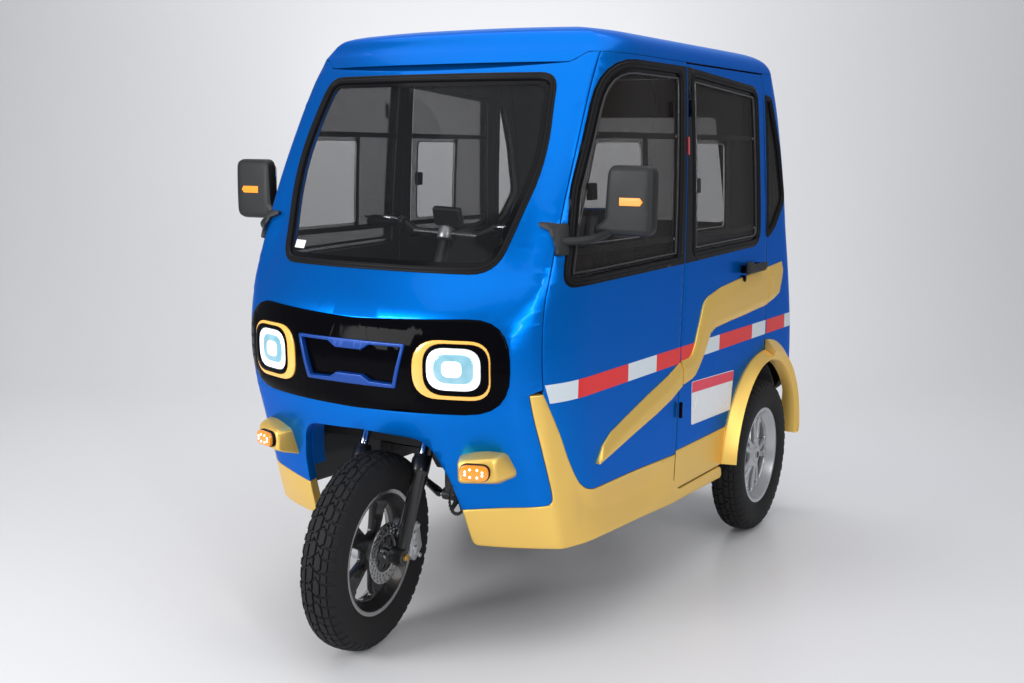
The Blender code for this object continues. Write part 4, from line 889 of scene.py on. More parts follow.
low_edge = np.concatenate([trim_face[trim_face[:, 0] < 1.05], trim_foot])
for name, low, high, body in (
        ("side_trim", 0.3205, 0.8365, "body"), ("door_trim", 0.8455, 1.531, "door_left"),
        ("rear_trim", 1.5385, 1.674, "body")):
    lower = between(low_edge, low, min(high, 1.604))
    if name == "rear_trim":
        lower += [(behind(1.640), 0.834), (behind(1.660), 0.880)]
    piece = plate(
        name + "_left", on_flank, rounded([*between(trim_top, low, high)[::-1], *lower]), gold_paint,
        trim_height + 0.0006, body, top=trim_height, edge=0.0012, step=0.010, shift=trim_relief, smooth=32)
    both_sides(piece)

# ---------- wheel arch mouldings
# Gold mouldings that swell out over the rear tyres: a narrow one on the door and a wide one with
# a crease behind it. Each is moulded with its lip turned in.
flare_lip_x = 0.588


def arch_moulding(name, body, angles, width):
    bm, loops = bmesh.new(), []
    for angle in angles:
        reach = width(angle)
        y, z = arch_place(angle, 0.0)
        panel_x = flank_at(y, z)
        high = flare_lip_x - 0.001 - panel_x
        section = ((0.0, -0.020), (0.0, high - 0.014), (0.003, high - 0.009), (0.40 * reach, high - 0.001),
                   (0.46 * reach, high), (0.53 * reach, high - 0.004), (reach - 0.003, 0.007), (reach, 0.004),
                   (reach, -0.003), (0.010, -0.003), (0.010, -0.020))
        loops.append(closed_loop(bm, [(panel_x + out, *arch_place(angle, part)) for part, out in section]))
    skin(bm, loops)
    both_sides(object_from(bm, name + "_left", gold_paint, body, smooth=32), name)


def foot_width(angle):
    """The wide moulding, rounded off at its foot."""
    return flare_width(angle) * math.sqrt(max(1 - (1 - min(angle / 0.09, 1)) ** 2, 0.12))


arch_moulding("door_flare", "door_left", np.radians(np.linspace(175.9, 88.0, 45)), lambda angle: door_flare)
arch_moulding(
    "arch_flare", "body", np.radians(np.concatenate([np.linspace(86.8, 4, 42), np.linspace(3.4, 0, 5)])),
    foot_width)

# ---------- reflective tape
# Red and white conspicuity tape stuck along each side, cut at the door seams. Cells are pressed
# into its face.
tape_z, tape_width, tape_thickness = 0.720, 0.049, 0.0008


def tape_foil(name, colour, slot):
    material = new_material(name, colour, 0.32, slot=slot)
    tree = material.node_tree
    place = add_node(tree, "ShaderNodeTexCoord")
    cells = add_node(tree, "ShaderNodeTexVoronoi", {"Scale": 260}, feature="DISTANCE_TO_EDGE")
    relief = add_node(tree, "ShaderNodeBump", {"Strength": 0.25, "Distance": 0.0006})
    wire(tree, (place, "Object", cells, "Vector"), (cells, "Distance", relief, "Height"),
         (relief, "Normal", tree.nodes["Principled BSDF"], "Normal"))
    return material


tape_red = tape_foil("tape_red", (0.74, 0.012, 0.014), "red_lens")
tape_white = tape_foil("tape_white", (0.66, 0.73, 0.78), "silver_alloy")
tape_low, tape_high = tape_z - tape_width / 2, tape_z + tape_width / 2
tape_start, tape_slant = 0.115, 0.009
for name, body, first, last, ends in (
        ("side_tape", "body", tape_white, tape_red, (0.117, 0.221, 0.497, 0.676, 0.834)),
        ("door_tape", "door_left", tape_red, tape_white, (0.8455, 0.957, 1.137, 1.420, 1.545)),
        ("rear_tape", "body", tape_red, tape_white, (1.5555, 1.735))):
    for i, (start, end) in enumerate(zip(ends, ends[1:])):
        lows, highs = [behind(start), behind(end)], [behind(start), behind(end)]
        if name == "side_tape" and i == 0:
            lows[0], highs[0] = behind(tape_start + tape_slant), behind(tape_start - tape_slant)
        if name == "side_tape" and end == ends[-1]:
            lows[1], highs[1] = door_seam(tape_low) - 0.001, door_seam(tape_high) - 0.001
        corners = [*zip(lows, (tape_low,) * 2), *zip(highs[::-1], (tape_high,) * 2)]
        both_sides(plate(
            f"{name}_{i}_left", on_flank, rounded(corners), last if i % 2 else first,
            tape_thickness + 0.0003, body, top=tape_thickness, edge=0.0002))
wrap, corner_length = tail_walk_to(behind(1.735), tape_z), 0.13
both_sides(plate(
    "corner_tape_left", on_tail,
    rounded([
        (wrap - corner_length, tape_low), (wrap, tape_low), (wrap, tape_high),
        (wrap - corner_length, tape_high)]),
    tape_white, tape_thickness + 0.0003, top=tape_thickness, edge=0.0002, step=0.01))

# ---------- door plate
# A blank enamelled number plate with a red band, riveted to each door.
plate_white = surface(
    "plate_white", (0.80, 0.83, 0.86), (0.2, 0.32), 40, slot="silver_alloy", Coat_Weight=0.3)
plate_red = surface("plate_red", (0.78, 0.03, 0.08), (0.25, 0.35), 40, slot="red_lens")
both_sides(plate(
    "door_plate_left", on_flank,
    side_outline(
        (0.936, 0.489, 0.008), (1.247, 0.481, 0.008), (1.268, 0.611, 0.008), (0.930, 0.625, 0.008)),
    plate_white, 0.0018, "door_left", top=0.0015, edge=0.0005))
both_sides(plate(
    "door_plate_band_left", on_flank,
    side_outline((0.932, 0.590), (1.262, 0.577), (1.2665, 0.609, 0.007), (0.9315, 0.6235, 0.007)),
    plate_red, 0.0006, "door_left", top=0.0020, edge=0.0002))

# ---------- lamp mask
# A gloss black moulding let into the nose. It carries both headlamps and a blue framed recess.
def box_outline(left, right, low, high, radii):
    """Rounded box; radii is one for all, or run from the lower left corner round to the upper left."""
    radii = radii if isinstance(radii, tuple) else (radii,) * 4
    corners = ((left, low), (right, low), (right, high), (left, high))
    return rounded([(*corner, radius) for corner, radius in zip(corners, radii)], 8, 0.012)


lamp_outline = box_outline(0.1865, 0.3755, 0.7095, 0.8575, (0.062, 0.050, 0.052, 0.070))
lamp_ring = box_outline(0.216, 0.3715, 0.7205, 0.8490, (0.050, 0.044, 0.046, 0.052))
glow_outline = box_outline(0.2235, 0.3540, 0.7325, 0.8390, (0.044, 0.040, 0.042, 0.046))
lens_outline = box_outline(0.2410, 0.3380, 0.7495, 0.8235, (0.034, 0.028, 0.030, 0.036))
frame_outline = rounded(
    [(-0.139, 0.729, 0.006), (0.139, 0.729, 0.006), (0.169, 0.843, 0.006), (-0.169, 0.843, 0.006)])
notch_half, notch_slope = 0.040, 0.024
recess_right = [
    (notch_half, 0.7545, 0.004), (notch_half + notch_slope, 0.7405, 0.004), (0.1305, 0.7385, 0.004),
    (0.1575, 0.8345, 0.004), (notch_half + notch_slope, 0.8335, 0.004), (notch_half, 0.8190, 0.004)]
recess_outline = rounded([*recess_right, *mirrored(recess_right)])
lamp_hole = shrunk(lamp_outline, -0.0006)
mask = plate(
    "lamp_mask", on_nose, shrunk(mask_outline, 0.0008), gloss_black, 0.014, top=0.003, edge=0.0025,
    holes=[lamp_hole, [Vector(point) for point in mirrored(lamp_hole)], shrunk(recess_outline, -0.002)])
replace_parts(mask, "lamp_mask")
plate("recess_floor", on_nose, shrunk(recess_outline, -0.006), gloss_black, 0.004, top=-0.008, edge=0.0005)
frame_blue = surface("frame_blue", (0.0, 0.050, 0.300), (0.3, 0.42), 400, 0.3, slot="blue_paint")
plate("recess_frame", on_nose, frame_outline, frame_blue, 0.016, top=0.0075, edge=0.0022,
      holes=[recess_outline], step=0.02)

# ---------- headlamps
# Each lamp has an amber marker bezel, thickest on the inner side, a black ring, a glowing white
# light guide and a clear lens over a faceted reflector.
amber_glow = surface(
    "amber_glow", (0.92, 0.50, 0.10), (0.12, 0.28), 70, bump=(0.2, 0.001), slot="lamp_lens",
    Emission_Color=(1.0, 0.44, 0.06, 1), Emission_Strength=0.14, Coat_Weight=0.6)
white_glow = surface(
    "white_glow", (0.95, 0.97, 1.0), (0.2, 0.3), 120, slot="lamp_lens", Emission_Color=(0.93, 0.97, 1.0, 1),
    Emission_Strength=0.75)
lens_glow = new_material(
    "lens_glow", (0.16, 0.34, 0.42), 0.08, slot="lamp_lens", Emission_Strength=0.35, Coat_Weight=0.6)
tree = lens_glow.node_tree
place = add_node(tree, "ShaderNodeTexCoord")
facets = add_node(tree, "ShaderNodeTexVoronoi", {"Scale": 26.0})
tint = add_node(tree, "ShaderNodeValToRGB")
for element, at, colour in zip(
        tint.color_ramp.elements, (0.10, 0.75), ((0.62, 0.90, 1.0, 1), (0.16, 0.46, 0.62, 1))):
    element.position, element.color = at, colour
wire(tree, (place, "Object", facets, "Vector"), (facets, "Distance", tint, "Fac"),
     (tint, "Color", tree.nodes["Principled BSDF"], "Emission Color"))

for part, outline, hole, material, thickness, top, edge in (
        ("bezel", lamp_outline, lamp_ring, amber_glow, 0.020, 0.0050, 0.0020),
        ("ring", lamp_ring, glow_outline, gloss_black, 0.022, 0.0070, 0.0020),
        ("guide", glow_outline, lens_outline, white_glow, 0.020, 0.0055, 0.0045)):
    both_sides(plate(
        f"headlamp_{part}_left", on_nose, outline, material, thickness, top=top, edge=edge,
        holes=[shrunk(hole, -0.0003)], step=0))
lens_x, lens_z = 0.29, 0.786
lens = plate(
    "headlamp_left", on_nose, lens_outline, lens_glow, 0.016, top=0.0010, edge=0.0030, step=0.008,
    shift=lambda u, v: 0.004 * np.clip(1 - ((u - lens_x) / 0.06) ** 2 - ((v - lens_z) / 0.045) ** 2, 0, 1))
both_sides(lens, "headlamp")
both_sides(plate(
    "headlamp_core_left", on_nose, box_outline(0.2620, 0.3120, 0.7660, 0.8080, 0.018), white_glow,
    0.012, top=0.0062, edge=0.0040, step=0))

# ---------- indicator pods
# Faceted gold pods on the skirt's corners, each with an amber lens in a black rubber collar.
def on_plane(origin, along, up):
    """A placer for flat pieces on a plane; out is away from its front."""
    along, up = Vector(along).normalized(), Vector(up).normalized()
    front = along.cross(up).normalized()
    frame_of = np.array((along, up, front))
    return lambda flat: np.array(origin) + flat @ frame_of


pod_corners = (
    (0.293, -0.014, 0.552), (0.386, 0.016, 0.563), (0.389, 0.018, 0.503), (0.294, -0.012, 0.495),
    (0.266, 0.040, 0.556), (0.325, 0.062, 0.578), (0.392, 0.094, 0.572), (0.408, 0.108, 0.507),
    (0.352, 0.100, 0.475), (0.260, 0.062, 0.475))
bm = bmesh.new()
for x, y, z in pod_corners:
    bm.verts.new((x, behind(y), z))
bmesh.ops.convex_hull(bm, input=bm.verts)
bmesh.ops.dissolve_limit(bm, angle_limit=math.radians(4), verts=bm.verts, edges=bm.edges)
bmesh.ops.bevel(
    bm, geom=bm.edges[:], offset=0.009, segments=4, affect="EDGES", profile=0.5, material=-1,
    clamp_overlap=True)
pod = object_from(bm, "indicator_left", gold_paint, "body", smooth=30)
both_sides(pod, "indicator")
pod_face = on_plane((0.3405, behind(0.0015), 0.5275), (0.093, 0.030, 0.0), (0.0, 0.0, 1.0))
lens_shape = box_outline(-0.040, 0.034, -0.020, 0.020, 0.019)
rubber_black = surface(
    "rubber_black", (0.006, 0.006, 0.007), (0.38, 0.55), 300, bump=(0.2, 0.0004), slot="gloss_black",
    Specular_IOR_Level=0.14)
amber_lens = surface(
    "amber_lens", (0.85, 0.27, 0.01), (0.08, 0.2), 140, bump=(0.3, 0.0008), slot="lamp_lens",
    Emission_Color=(1.0, 0.36, 0.02, 1), Emission_Strength=0.12, Coat_Weight=1.0)
collar = plate(
    "indicator_collar_left", pod_face, shrunk(lens_shape, -0.002), rubber_black, 0.014, top=0.009,
    edge=0.002, step=0)
lens = plate("indicator_lens_left", pod_face, lens_shape, amber_lens, 0.014, top=0.0175, edge=0.004, step=0)
bm = bmesh.new()
for i in range(8):
    turn = 2 * math.pi * (i + 0.5) / 8
    spot = pod_face(np.array([(0.024 * math.cos(turn) - 0.003, 0.0105 * math.sin(turn), 0.0172)]))[0]
    bmesh.ops.create_uvsphere(bm, u_segments=10, v_segments=6, radius=0.0036, matrix=Matrix.Translation(spot))
leds = object_from(bm, "indicator_leds_left", white_glow, "body", smooth=60)
for piece in (collar, lens, leds):
    both_sides(piece)

# ---------- front wheel opening
# The opening's edge is turned in as a blue flange that holds the grey inner arch with screws.
arch_line = rounded([(-0.247, 0.430), *front_arch, (0.247, 0.430)])
arch_line = [(point.x, point.y) for point in arch_line if point.y > 0.4301]
arch_line.sort(key=lambda point: math.atan2(point[1] - 0.40, point[0]), reverse=True)
bm = bmesh.new()
edge_line = open_line(bm, on_nose(np.array([(x * 0.992, z - 0.002, -0.022) for x, z in arch_line])))
extrude_by(bm, edge_line, (0, 0.050, 0))
bmesh.ops.solidify(bm, geom=bm.faces[:], thickness=0.002)
object_from(bm, "front_arch_flange", blue_paint, "body")

# ---------- windows
# Tinted panes held in black rubber with two beads. The side windows have a black printed border,
# an inner bead and the frames of their sliding panes.
def tinted(name, tint, cover):
    """Tinted sheet glass; cover is the share of the light that each of its faces stops."""
    return surface(name, tint, (0.01, 0.03), 3, slot="window_glass", Alpha=cover, Specular_IOR_Level=0.30)


windscreen_glass = tinted("windscreen_glass", (0.020, 0.021, 0.023), 0.22)
side_glass = tinted("side_glass", (0.016, 0.012, 0.010), 0.30)
sash_glass = tinted("sash_glass", (0.016, 0.012, 0.010), 0.46)
bead_black = surface("bead_black", (0.020, 0.020, 0.022), (0.12, 0.22), 200, slot="gloss_black")
border_black = surface(
    "border_black", (0.004, 0.004, 0.005), (0.10, 0.20), 80, slot="gloss_black", Specular_IOR_Level=0.12)
# Painted highlight: a dark edge coloured mid grey to stand in for the light caught along the sliding pane's
# opening.
edge_grey = surface("edge_grey", (0.50, 0.50, 0.49), (0.25, 0.4), 120, slot="gloss_black")
screw_white = surface("screw_white", (0.85, 0.85, 0.83), (0.25, 0.4), 120, slot="silver_alloy")
gasket_section = (
    (0.0, 0.0001), (0.0012, 0.0028), (0.0040, 0.0036), (0.0068, 0.0028), (0.0080, 0.0015), (0.0092, 0.0028),
    (0.0120, 0.0036), (0.0150, 0.0024), (0.0168, -0.0020), (0.0168, -0.0059), (0.0121, -0.0059),
    (0.0121, 0.0001))
bead_section = (
    (0.0250, -0.0061), (0.0255, -0.0020), (0.0280, 0.0004), (0.0310, 0.0000), (0.0330, -0.0020),
    (0.0335, -0.0061))
glass_inset, glass_thickness = 0.006, 0.005


def glazed(name, place, outline, body, glass, border=0.0, bead=False, side=True):
    """A pane with its rubber, printed border and bead; side windows are made for both sides."""
    def label(kind):
        return name.replace("glass", kind) if "glass" in name else f"{name}_{kind}"

    pane = plate(name, place, shrunk(outline, window_rubber + 0.0003), glass, glass_thickness, body,
                 top=-glass_inset, edge=0.0005)
    trims = [band(label("rubber"), place, outline, gasket_section, rubber_black, body)]
    if border:
        trims.append(plate(
            label("border"), place, shrunk(outline, window_rubber + 0.001), border_black, 0.0009, body,
            top=-glass_inset + 0.0008, edge=0.0002, holes=[shrunk(outline, border)]))
    if bead:
        trims.append(band(label("bead"), place, outline, bead_section, bead_black, body))
    if side:
        both_sides(pane, name.removesuffix("_left"))
        for trim in trims:
            both_sides(trim)
    else:
        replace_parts(pane, name)


glazed("windscreen", on_nose, windscreen, "body", windscreen_glass, border=0.030, side=False)
glazed("rear_glass", on_tail, rear_window, "body", side_glass, border=0.030, side=False)
glazed("front_side_glass_left", on_flank, front_window, "body", side_glass, border=0.027, bead=True)
glazed("door_glass_left", on_flank, door_window, "door_left", side_glass, border=0.027, bead=True)
glazed("quarter_glass_left", on_flank, quarter_window, "body", side_glass, border=0.020)

# Black film joins the side windows across the pillar.
film_low, film_high = 0.992, 1.562
side_film = rounded([
    (behind(0.160), 0.980, 0.035), (door_seam(0.99) - 0.0004, film_low, 0.004),
    (door_seam(film_high) - 0.0004, film_high, 0.004), (behind(0.404), film_high, 0.240),
    (behind(0.226), 1.226, 0.260)])
door_film = rounded([
    (door_seam(0.99) + 0.0066, film_low, 0.004), (behind(1.472), 1.008, 0.065),
    (behind(1.438), 1.528, 0.052), (door_seam(film_high) + 0.0066, film_high, 0.004)])
for name, outline, opening, body in (
        ("side_film_left", side_film, front_window, "body"),
        ("door_film_left", door_film, door_window, "door_left")):
    film = plate(name, on_flank, outline, border_black, 0.0008, body, top=0.0005, edge=0.0002,
                 holes=[shrunk(opening, 0.003)])
    both_sides(film)

# Sliding panes behind the glass: a cross bar, a foot rail and an upright, a second tinted pane with
# an opening in its front half, a painted grey highlight round the opening's edge, a square latch and four
# screws.
bar_z, foot_z, bar_width = 1.362, 1.068, 0.016
sash_depth, pane_depth, screw_height = -0.0115, -0.0220, 0.0030
for name, opening, upright, body in (
        ("front_sash_left", front_window, behind(0.620), "body"),
        ("door_sash_left", door_window, behind(1.215), "door_left")):
    inner = shrunk(opening, 0.016)
    rails = []
    for z in (bar_z, foot_z):
        ys = [point.x for point in inner if abs(point.y - z) < 0.012]
        rails.append((min(ys), max(ys), z))
    stile = (upright - bar_width / 2, upright + bar_width / 2)
    front_high, front_low = (rail[0] + 0.034 for rail in rails)
    way = rounded([
        (front_low, foot_z + 0.016, 0.020), (stile[0] - 0.008, foot_z + 0.016, 0.016),
        (stile[0] - 0.008, bar_z - 0.018, 0.016), (front_high, bar_z - 0.018, 0.016)])
    way_front = float(np.interp(1.218, (foot_z, bar_z), (front_low, front_high)))
    latch = box_outline(way_front + 0.003, way_front + 0.035, 1.196, 1.240, 0.004)
    parts = [(part, box_outline(low, high, z - bar_width / 2, z + bar_width / 2, 0), 0.010)
             for part, (low, high, z) in zip(("bar", "foot"), rails)]
    parts += [("stile", box_outline(*stile, foot_z, bar_z, 0), 0.009), ("latch", latch, 0.014)]
    pieces = [plate(name.replace("sash", "sash_" + part), on_flank, outline, trim_charcoal, thickness, body,
                    top=sash_depth, edge=0.0015) for part, outline, thickness in parts]
    pieces.append(plate(
        name.replace("sash", "sash_pane"), on_flank, shrunk(opening, window_rubber + 0.006), sash_glass,
        0.003, body, top=pane_depth, edge=0.0003, holes=[way]))
    edge_low, edge_high = pane_depth - 0.0031, pane_depth + 0.0007
    pieces.append(band(
        name.replace("sash", "sash_edge"), on_flank, way,
        ((-0.0004, edge_low), (-0.0004, edge_high), (0.0018, edge_high), (0.0018, edge_low)), edge_grey,
        body))
    bm = bmesh.new()
    for y_low, y_high, z in rails:
        for y in (y_low + 0.010, y_high - 0.010):
            bmesh.ops.create_cone(
                bm, cap_ends=True, segments=14, radius1=0.0042, radius2=0.0030, depth=screw_height,
                matrix=Matrix.Translation((y, z, sash_depth + 0.0001 + screw_height / 2)))
    lay(bm, on_flank)
    pieces.append(object_from(bm, name.replace("sash", "sash_screws"), screw_white, body, 30))
    for piece in pieces:
        both_sides(piece)
plate("inspection_sticker", on_nose, box_outline(-0.312, -0.268, 1.052, 1.073, 0.002),
      plate_white, 0.0006, top=-0.0054, edge=0.0001)

# ---------- mirrors
# Deep black moulded heads on bent steel arms, each bolted to the windscreen pillar.
def tube(bm, points, radius, sides=14):
    """Sweep a circle along a line of points; radius is one number or one for each point."""
    points = [Vector(point) for point in points]
    radii = radius if isinstance(radius, (list, tuple)) else [radius] * len(points)
    heading = (points[1] - points[0]).normalized()
    side = heading.orthogonal().normalized()
    loops = []
    for i, (point, size) in enumerate(zip(points, radii)):
        ahead = (points[min(i + 1, len(points) - 1)] - points[max(i - 1, 0)]).normalized()
        side = (side - ahead * side.dot(ahead)).normalized()
        across = ahead.cross(side)
        loops.append(closed_loop(bm, [point + (side * math.cos(a) + across * math.sin(a)) * size
                                      for a in np.linspace(0, 2 * math.pi, sides, endpoint=False)]))
    skin(bm, loops)


mirror_x, mirror_z, mirror_half_width, mirror_half_height = 0.6135, 1.1975, 0.068, 0.087
mirror_face = on_plane((mirror_x, behind(0.262), mirror_z), (1, 0, 0), (0, 0, 1))
mirror_back = on_plane((mirror_x, behind(0.306), mirror_z), (-1, 0, 0), (0, 0, 1))
moulded_black = surface(
    "moulded_black", (0.013, 0.014, 0.015), (0.42, 0.6), 700, bump=(0.35, 0.0005), slot="gloss_black",
    Specular_IOR_Level=0.35)


def mirror_dome(u, v):
    """The head's front falls away towards its rim."""
    return -0.004 * np.clip((u / mirror_half_width) ** 2 + (v / mirror_half_height) ** 2 - 0.35, 0, 2) / 1.65


head = plate(
    "mirror_left", mirror_face,
    rounded(
        [
            (-0.098, -0.0860, 0.008), (0.068, -0.087, 0.030), (0.068, 0.087, 0.026), (-0.060, 0.087, 0.026),
            (-0.068, -0.050, 0.020), (-0.098, -0.064, 0.008)],
        7, 0.01),
    moulded_black, 0.043, top=-0.0008, edge=0.013, step=0.014, shift=mirror_dome)
both_sides(head, "mirror")
silvered = surface("silvered", (0.85, 0.87, 0.88), (0.01, 0.04), 4, 1.0, slot="silver_alloy")
glass = plate(
    "mirror_glass_left", mirror_back, box_outline(-0.057, 0.057, -0.075, 0.075, 0.020), silvered, 0.004,
    top=0.0003, edge=0.0008, step=0)
bm = bmesh.new()
tube(bm, through([(0.480, behind(0.172), 1.098), (0.505, behind(0.190), 1.098), (0.534, behind(0.222), 1.102),
                  (0.552, behind(0.262), 1.112), (0.562, behind(0.284), 1.122)]), 0.0105, 8)
arm = object_from(bm, "mirror_arm_left", moulded_black, "body", smooth=50)
foot = plate(
    "mirror_foot_left", on_flank,
    side_outline(
        (0.152, 1.062, 0.006), (0.186, 1.062, 0.010), (0.200, 1.140, 0.010), (0.166, 1.140, 0.006)),
    moulded_black, 0.016, top=0.013, edge=0.004, step=0.01)
mark_amber = surface("mark_amber", (0.95, 0.33, 0.01), (0.3, 0.4), 300, slot="lamp_lens")
arrow = rounded([(-0.022, -0.012), (0.034, -0.012), (0.042, -0.002), (0.034, 0.008), (-0.022, 0.008)])
mark = plate("mirror_mark_left", mirror_face, arrow, mark_amber, 0.0012, top=0.0006, edge=0.0003, step=0.01,
             shift=mirror_dome)
for piece in (glass, arm, foot, mark):
    both_sides(piece)

# ---------- door handles and hinges
# Black die-cast pull handles on two feet with a lock barrel below, and pin hinges at the seam.
handle_start, handle_end, handle_z = behind(1.290), behind(1.460), 0.940
grip = plate(
    "door_handle_left", on_flank,
    rounded([
        (handle_start, handle_z - 0.016, 0.008), (handle_end - 0.02, handle_z - 0.014, 0.010),
        (handle_end, handle_z - 0.004, 0.008), (handle_end, handle_z + 0.015, 0.008),
        (handle_start + 0.06, handle_z + 0.014, 0.012), (handle_start + 0.036, handle_z + 0.024, 0.012),
        (handle_start, handle_z + 0.024, 0.010)]),
    moulded_black, 0.015, "door_left", top=0.033, edge=0.005, step=0.012, smooth=45)
both_sides(grip, "door_handle")
feet = []
for i, (start, reach) in enumerate(((handle_start + 0.006, 0.034), (handle_end - 0.040, 0.026))):
    feet.append(plate(
        f"handle_foot_{i}_left", on_flank,
        box_outline(start, start + reach, handle_z - 0.013, handle_z + 0.013, 0.005), gloss_black,
        0.021, "door_left", top=0.0205, edge=0.003, step=0))
lock_y, lock_z, lock_radius = behind(1.318), 0.908, 0.011
lock_ring = rounded([
    (lock_y + lock_radius * math.cos(a), lock_z + lock_radius * math.sin(a))
    for a in np.linspace(0, 2 * math.pi, 24, endpoint=False)])
feet.append(plate(
    "lock_barrel_left", on_flank, lock_ring, gloss_black, 0.012, "door_left", top=0.010, edge=0.002,
    step=0))
for piece in feet:
    both_sides(piece)
joints = {joint["name"]: joint for joint in frame["joints"]}
for side in ("left", "right"):
    pivot = joints[f"door_{side}_swing"]["pos_m"]
    bm = bmesh.new()
    for z in (0.555, 1.441):
        tube(bm, [(pivot[0], pivot[1], z + rise) for rise in (-0.024, -0.022, 0.022, 0.024)],
             [0.0042, 0.0055, 0.0055, 0.0042])
    object_from(bm, f"hinge_pins_{side}", gloss_black, "body", smooth=40)

# ---------- tyres
# Bias-ply tyres, spun from one section, with moulded tread blocks standing on the crown.
tread_depth = 0.0055
tyre_rubber = surface(
    "tyre_rubber", (0.011, 0.011, 0.012), (0.62, 0.85), 420, bump=(0.4, 0.0008), slot="tyre",
    Specular_IOR_Level=0.3)
carcass = through([(0.0385, 0.1625), (0.0455, 0.176), (0.0510, 0.200), (0.0520, 0.222), (0.0475, 0.2425),
                   (0.0380, 0.2525), (0.0220, 0.2585), (0.0, 0.2600)], 4)
sidewall_ribs = ((0.183, 0.0007), (0.187, 0.0007), (0.229, 0.0009))     # radius, height


def crown_radius(across):
    """Radius of the carcass at a distance from the tyre's middle line."""
    width, radius = np.array([point for point in carcass if point[1] > 0.235]).T
    return np.interp(np.abs(across), width[::-1], radius[::-1])


def on_wheel(joint, mirror=1.0):
    """Matrix from a wheel's own frame, axle along X, to its place on the vehicle."""
    axis = Vector(joint["axis"]).normalized()
    turn = Vector((1, 0, 0)).rotation_difference(axis).to_matrix().to_4x4()
    return Matrix.Translation(joint["pos_m"]) @ turn @ Matrix.Scale(mirror, 4, Vector((1, 0, 0)))


def spun(bm, section, steps=96):
    """Turn a closed section of (across, radius) points into a ring round the X axis."""
    edges = closed_loop(bm, [(across, 0, radius) for across, radius in section])
    verts = {vert for edge in edges for vert in edge.verts}
    bmesh.ops.spin(
        bm, geom=[*verts, *edges], cent=(0, 0, 0), axis=(1, 0, 0), dvec=(0, 0, 0), angle=2 * math.pi,
        steps=steps, use_merge=True, use_duplicate=False)


def fitted(bm, name, material, matrix, body, smooth=35):
    """Put a shape made about its own axis in its place, and make it a piece."""
    bmesh.ops.remove_doubles(bm, verts=bm.verts, dist=0.00001)
    bmesh.ops.transform(bm, matrix=matrix, verts=bm.verts)
    return object_from(bm, name, material, body, smooth)


def turned_piece(name, joint, material, section, mirror=1.0, smooth=35, steps=48, body=""):
    bm = bmesh.new()
    spun(bm, section, steps)
    return fitted(bm, name, material, on_wheel(joint, mirror), body or joint["child"], smooth)


pitches = 26
# One pitch of the tread: blocks as (across, share of the pitch) corners, for the left half; the
# right half is the same, turned and shifted by half a pitch.
tread_blocks = (
    ((0.0015, 0.06), (0.0100, -0.10), (0.0185, 0.02), (0.0185, 0.40), (0.0110, 0.62), (0.0015, 0.50)),
    (
        (0.0030, 0.62), (0.0100, 0.74), (0.0165, 0.56), (0.0200, 0.62), (0.0200, 0.82), (0.0110, 0.84),
        (0.0030, 0.94)),
    ((0.0225, -0.04), (0.0330, -0.10), (0.0355, 0.06), (0.0355, 0.34), (0.0225, 0.42)),
    ((0.0225, 0.52), (0.0355, 0.46), (0.0355, 0.78), (0.0225, 0.88)),
    ((0.0378, -0.06), (0.0490, -0.02), (0.0500, 0.34), (0.0378, 0.36)),
    ((0.0378, 0.50), (0.0470, 0.50), (0.0480, 0.78), (0.0378, 0.82)))


def tread(bm):
    pitch_angle = 2 * math.pi / pitches
    for pitch, side, block in itertools.product(range(pitches), (1, -1), tread_blocks):
        start = pitch + (0.5 if side < 0 else 0.0)
        turned = [(side * across, (share + start) * pitch_angle) for across, share in block]
        middle = np.mean(turned, axis=0)
        loops = []
        for lift, grow in ((-0.0015, 1.06), (tread_depth - 0.0010, 0.98), (tread_depth, 0.90)):
            spots = []
            for across, turn in middle + (np.array(turned) - middle) * grow:
                radius = crown_radius(across) + lift
                spots.append((across, radius * math.sin(turn), radius * math.cos(turn)))
            loops.append(closed_loop(bm, spots))
        skin(bm, loops)


def tyre(name, joint):
    half = carcass
    for at, height in sidewall_ribs:
        half = [
            (across + height * math.exp(-((radius - at) / 0.0012) ** 2), radius) for across, radius in half]
    section = [*half, *mirrored(half)[1:], (-0.030, 0.158), (0.030, 0.158)]
    bm = bmesh.new()
    spun(bm, section, 112)
    tread(bm)
    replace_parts(fitted(bm, name, tyre_rubber, on_wheel(joint), joint["child"], 40), name)


# ---------- wheels
# The front wheel is a black casting with five broad spokes, a bare lip and a drilled brake disc.
# The rear wheels are silver castings with five pairs of spokes.
rim_black = surface(
    "rim_black", (0.012, 0.012, 0.013), (0.22, 0.36), 260, bump=(0.15, 0.0004), slot="black_alloy",
    Coat_Weight=0.4)
rim_silver = surface(
    "rim_silver", (0.52, 0.53, 0.55), (0.26, 0.38), 260, 0.85, (0.15, 0.0003), slot="silver_alloy")
bare_steel = surface(
    "bare_steel", (0.60, 0.60, 0.60), (0.16, 0.32), 90, 1.0, (0.1, 0.0002), stretch=(1, 6, 6),
    slot="silver_alloy")
rim_well = [(0.0405, 0.1735), (0.0370, 0.1700), (0.0365, 0.1610), (0.0300, 0.1560), (0.0120, 0.1420)]
rim_back = [(-0.0415, 0.1690), (-0.0400, 0.1570), (-0.0330, 0.1520), (-0.0150, 0.1360)]
rim_section = [*rim_well, *mirrored(rim_well), *rim_back, *mirrored(rim_back)]


def polar(radius, degrees):
    return radius * math.cos(math.radians(degrees)), radius * math.sin(math.radians(degrees))


def circle_outline(radius, steps=72, centre=(0.0, 0.0)):
    return [Vector(centre) + Vector(polar(radius, 360 * i / steps)) for i in range(steps)]


def window_between(start, end, low, high, corner):
    """A window of a cast wheel between two directions, wider at its outer end."""
    outer = [(*polar(high, a), corner if a in (start, end) else 0.0) for a in np.linspace(start, end, 7)]
    spread = (end - start) * 0.18
    inner = [(*polar(low, a), corner * 0.7) for a in (end - spread, start + spread)]
    return rounded(outer + inner, 6, 0.01)


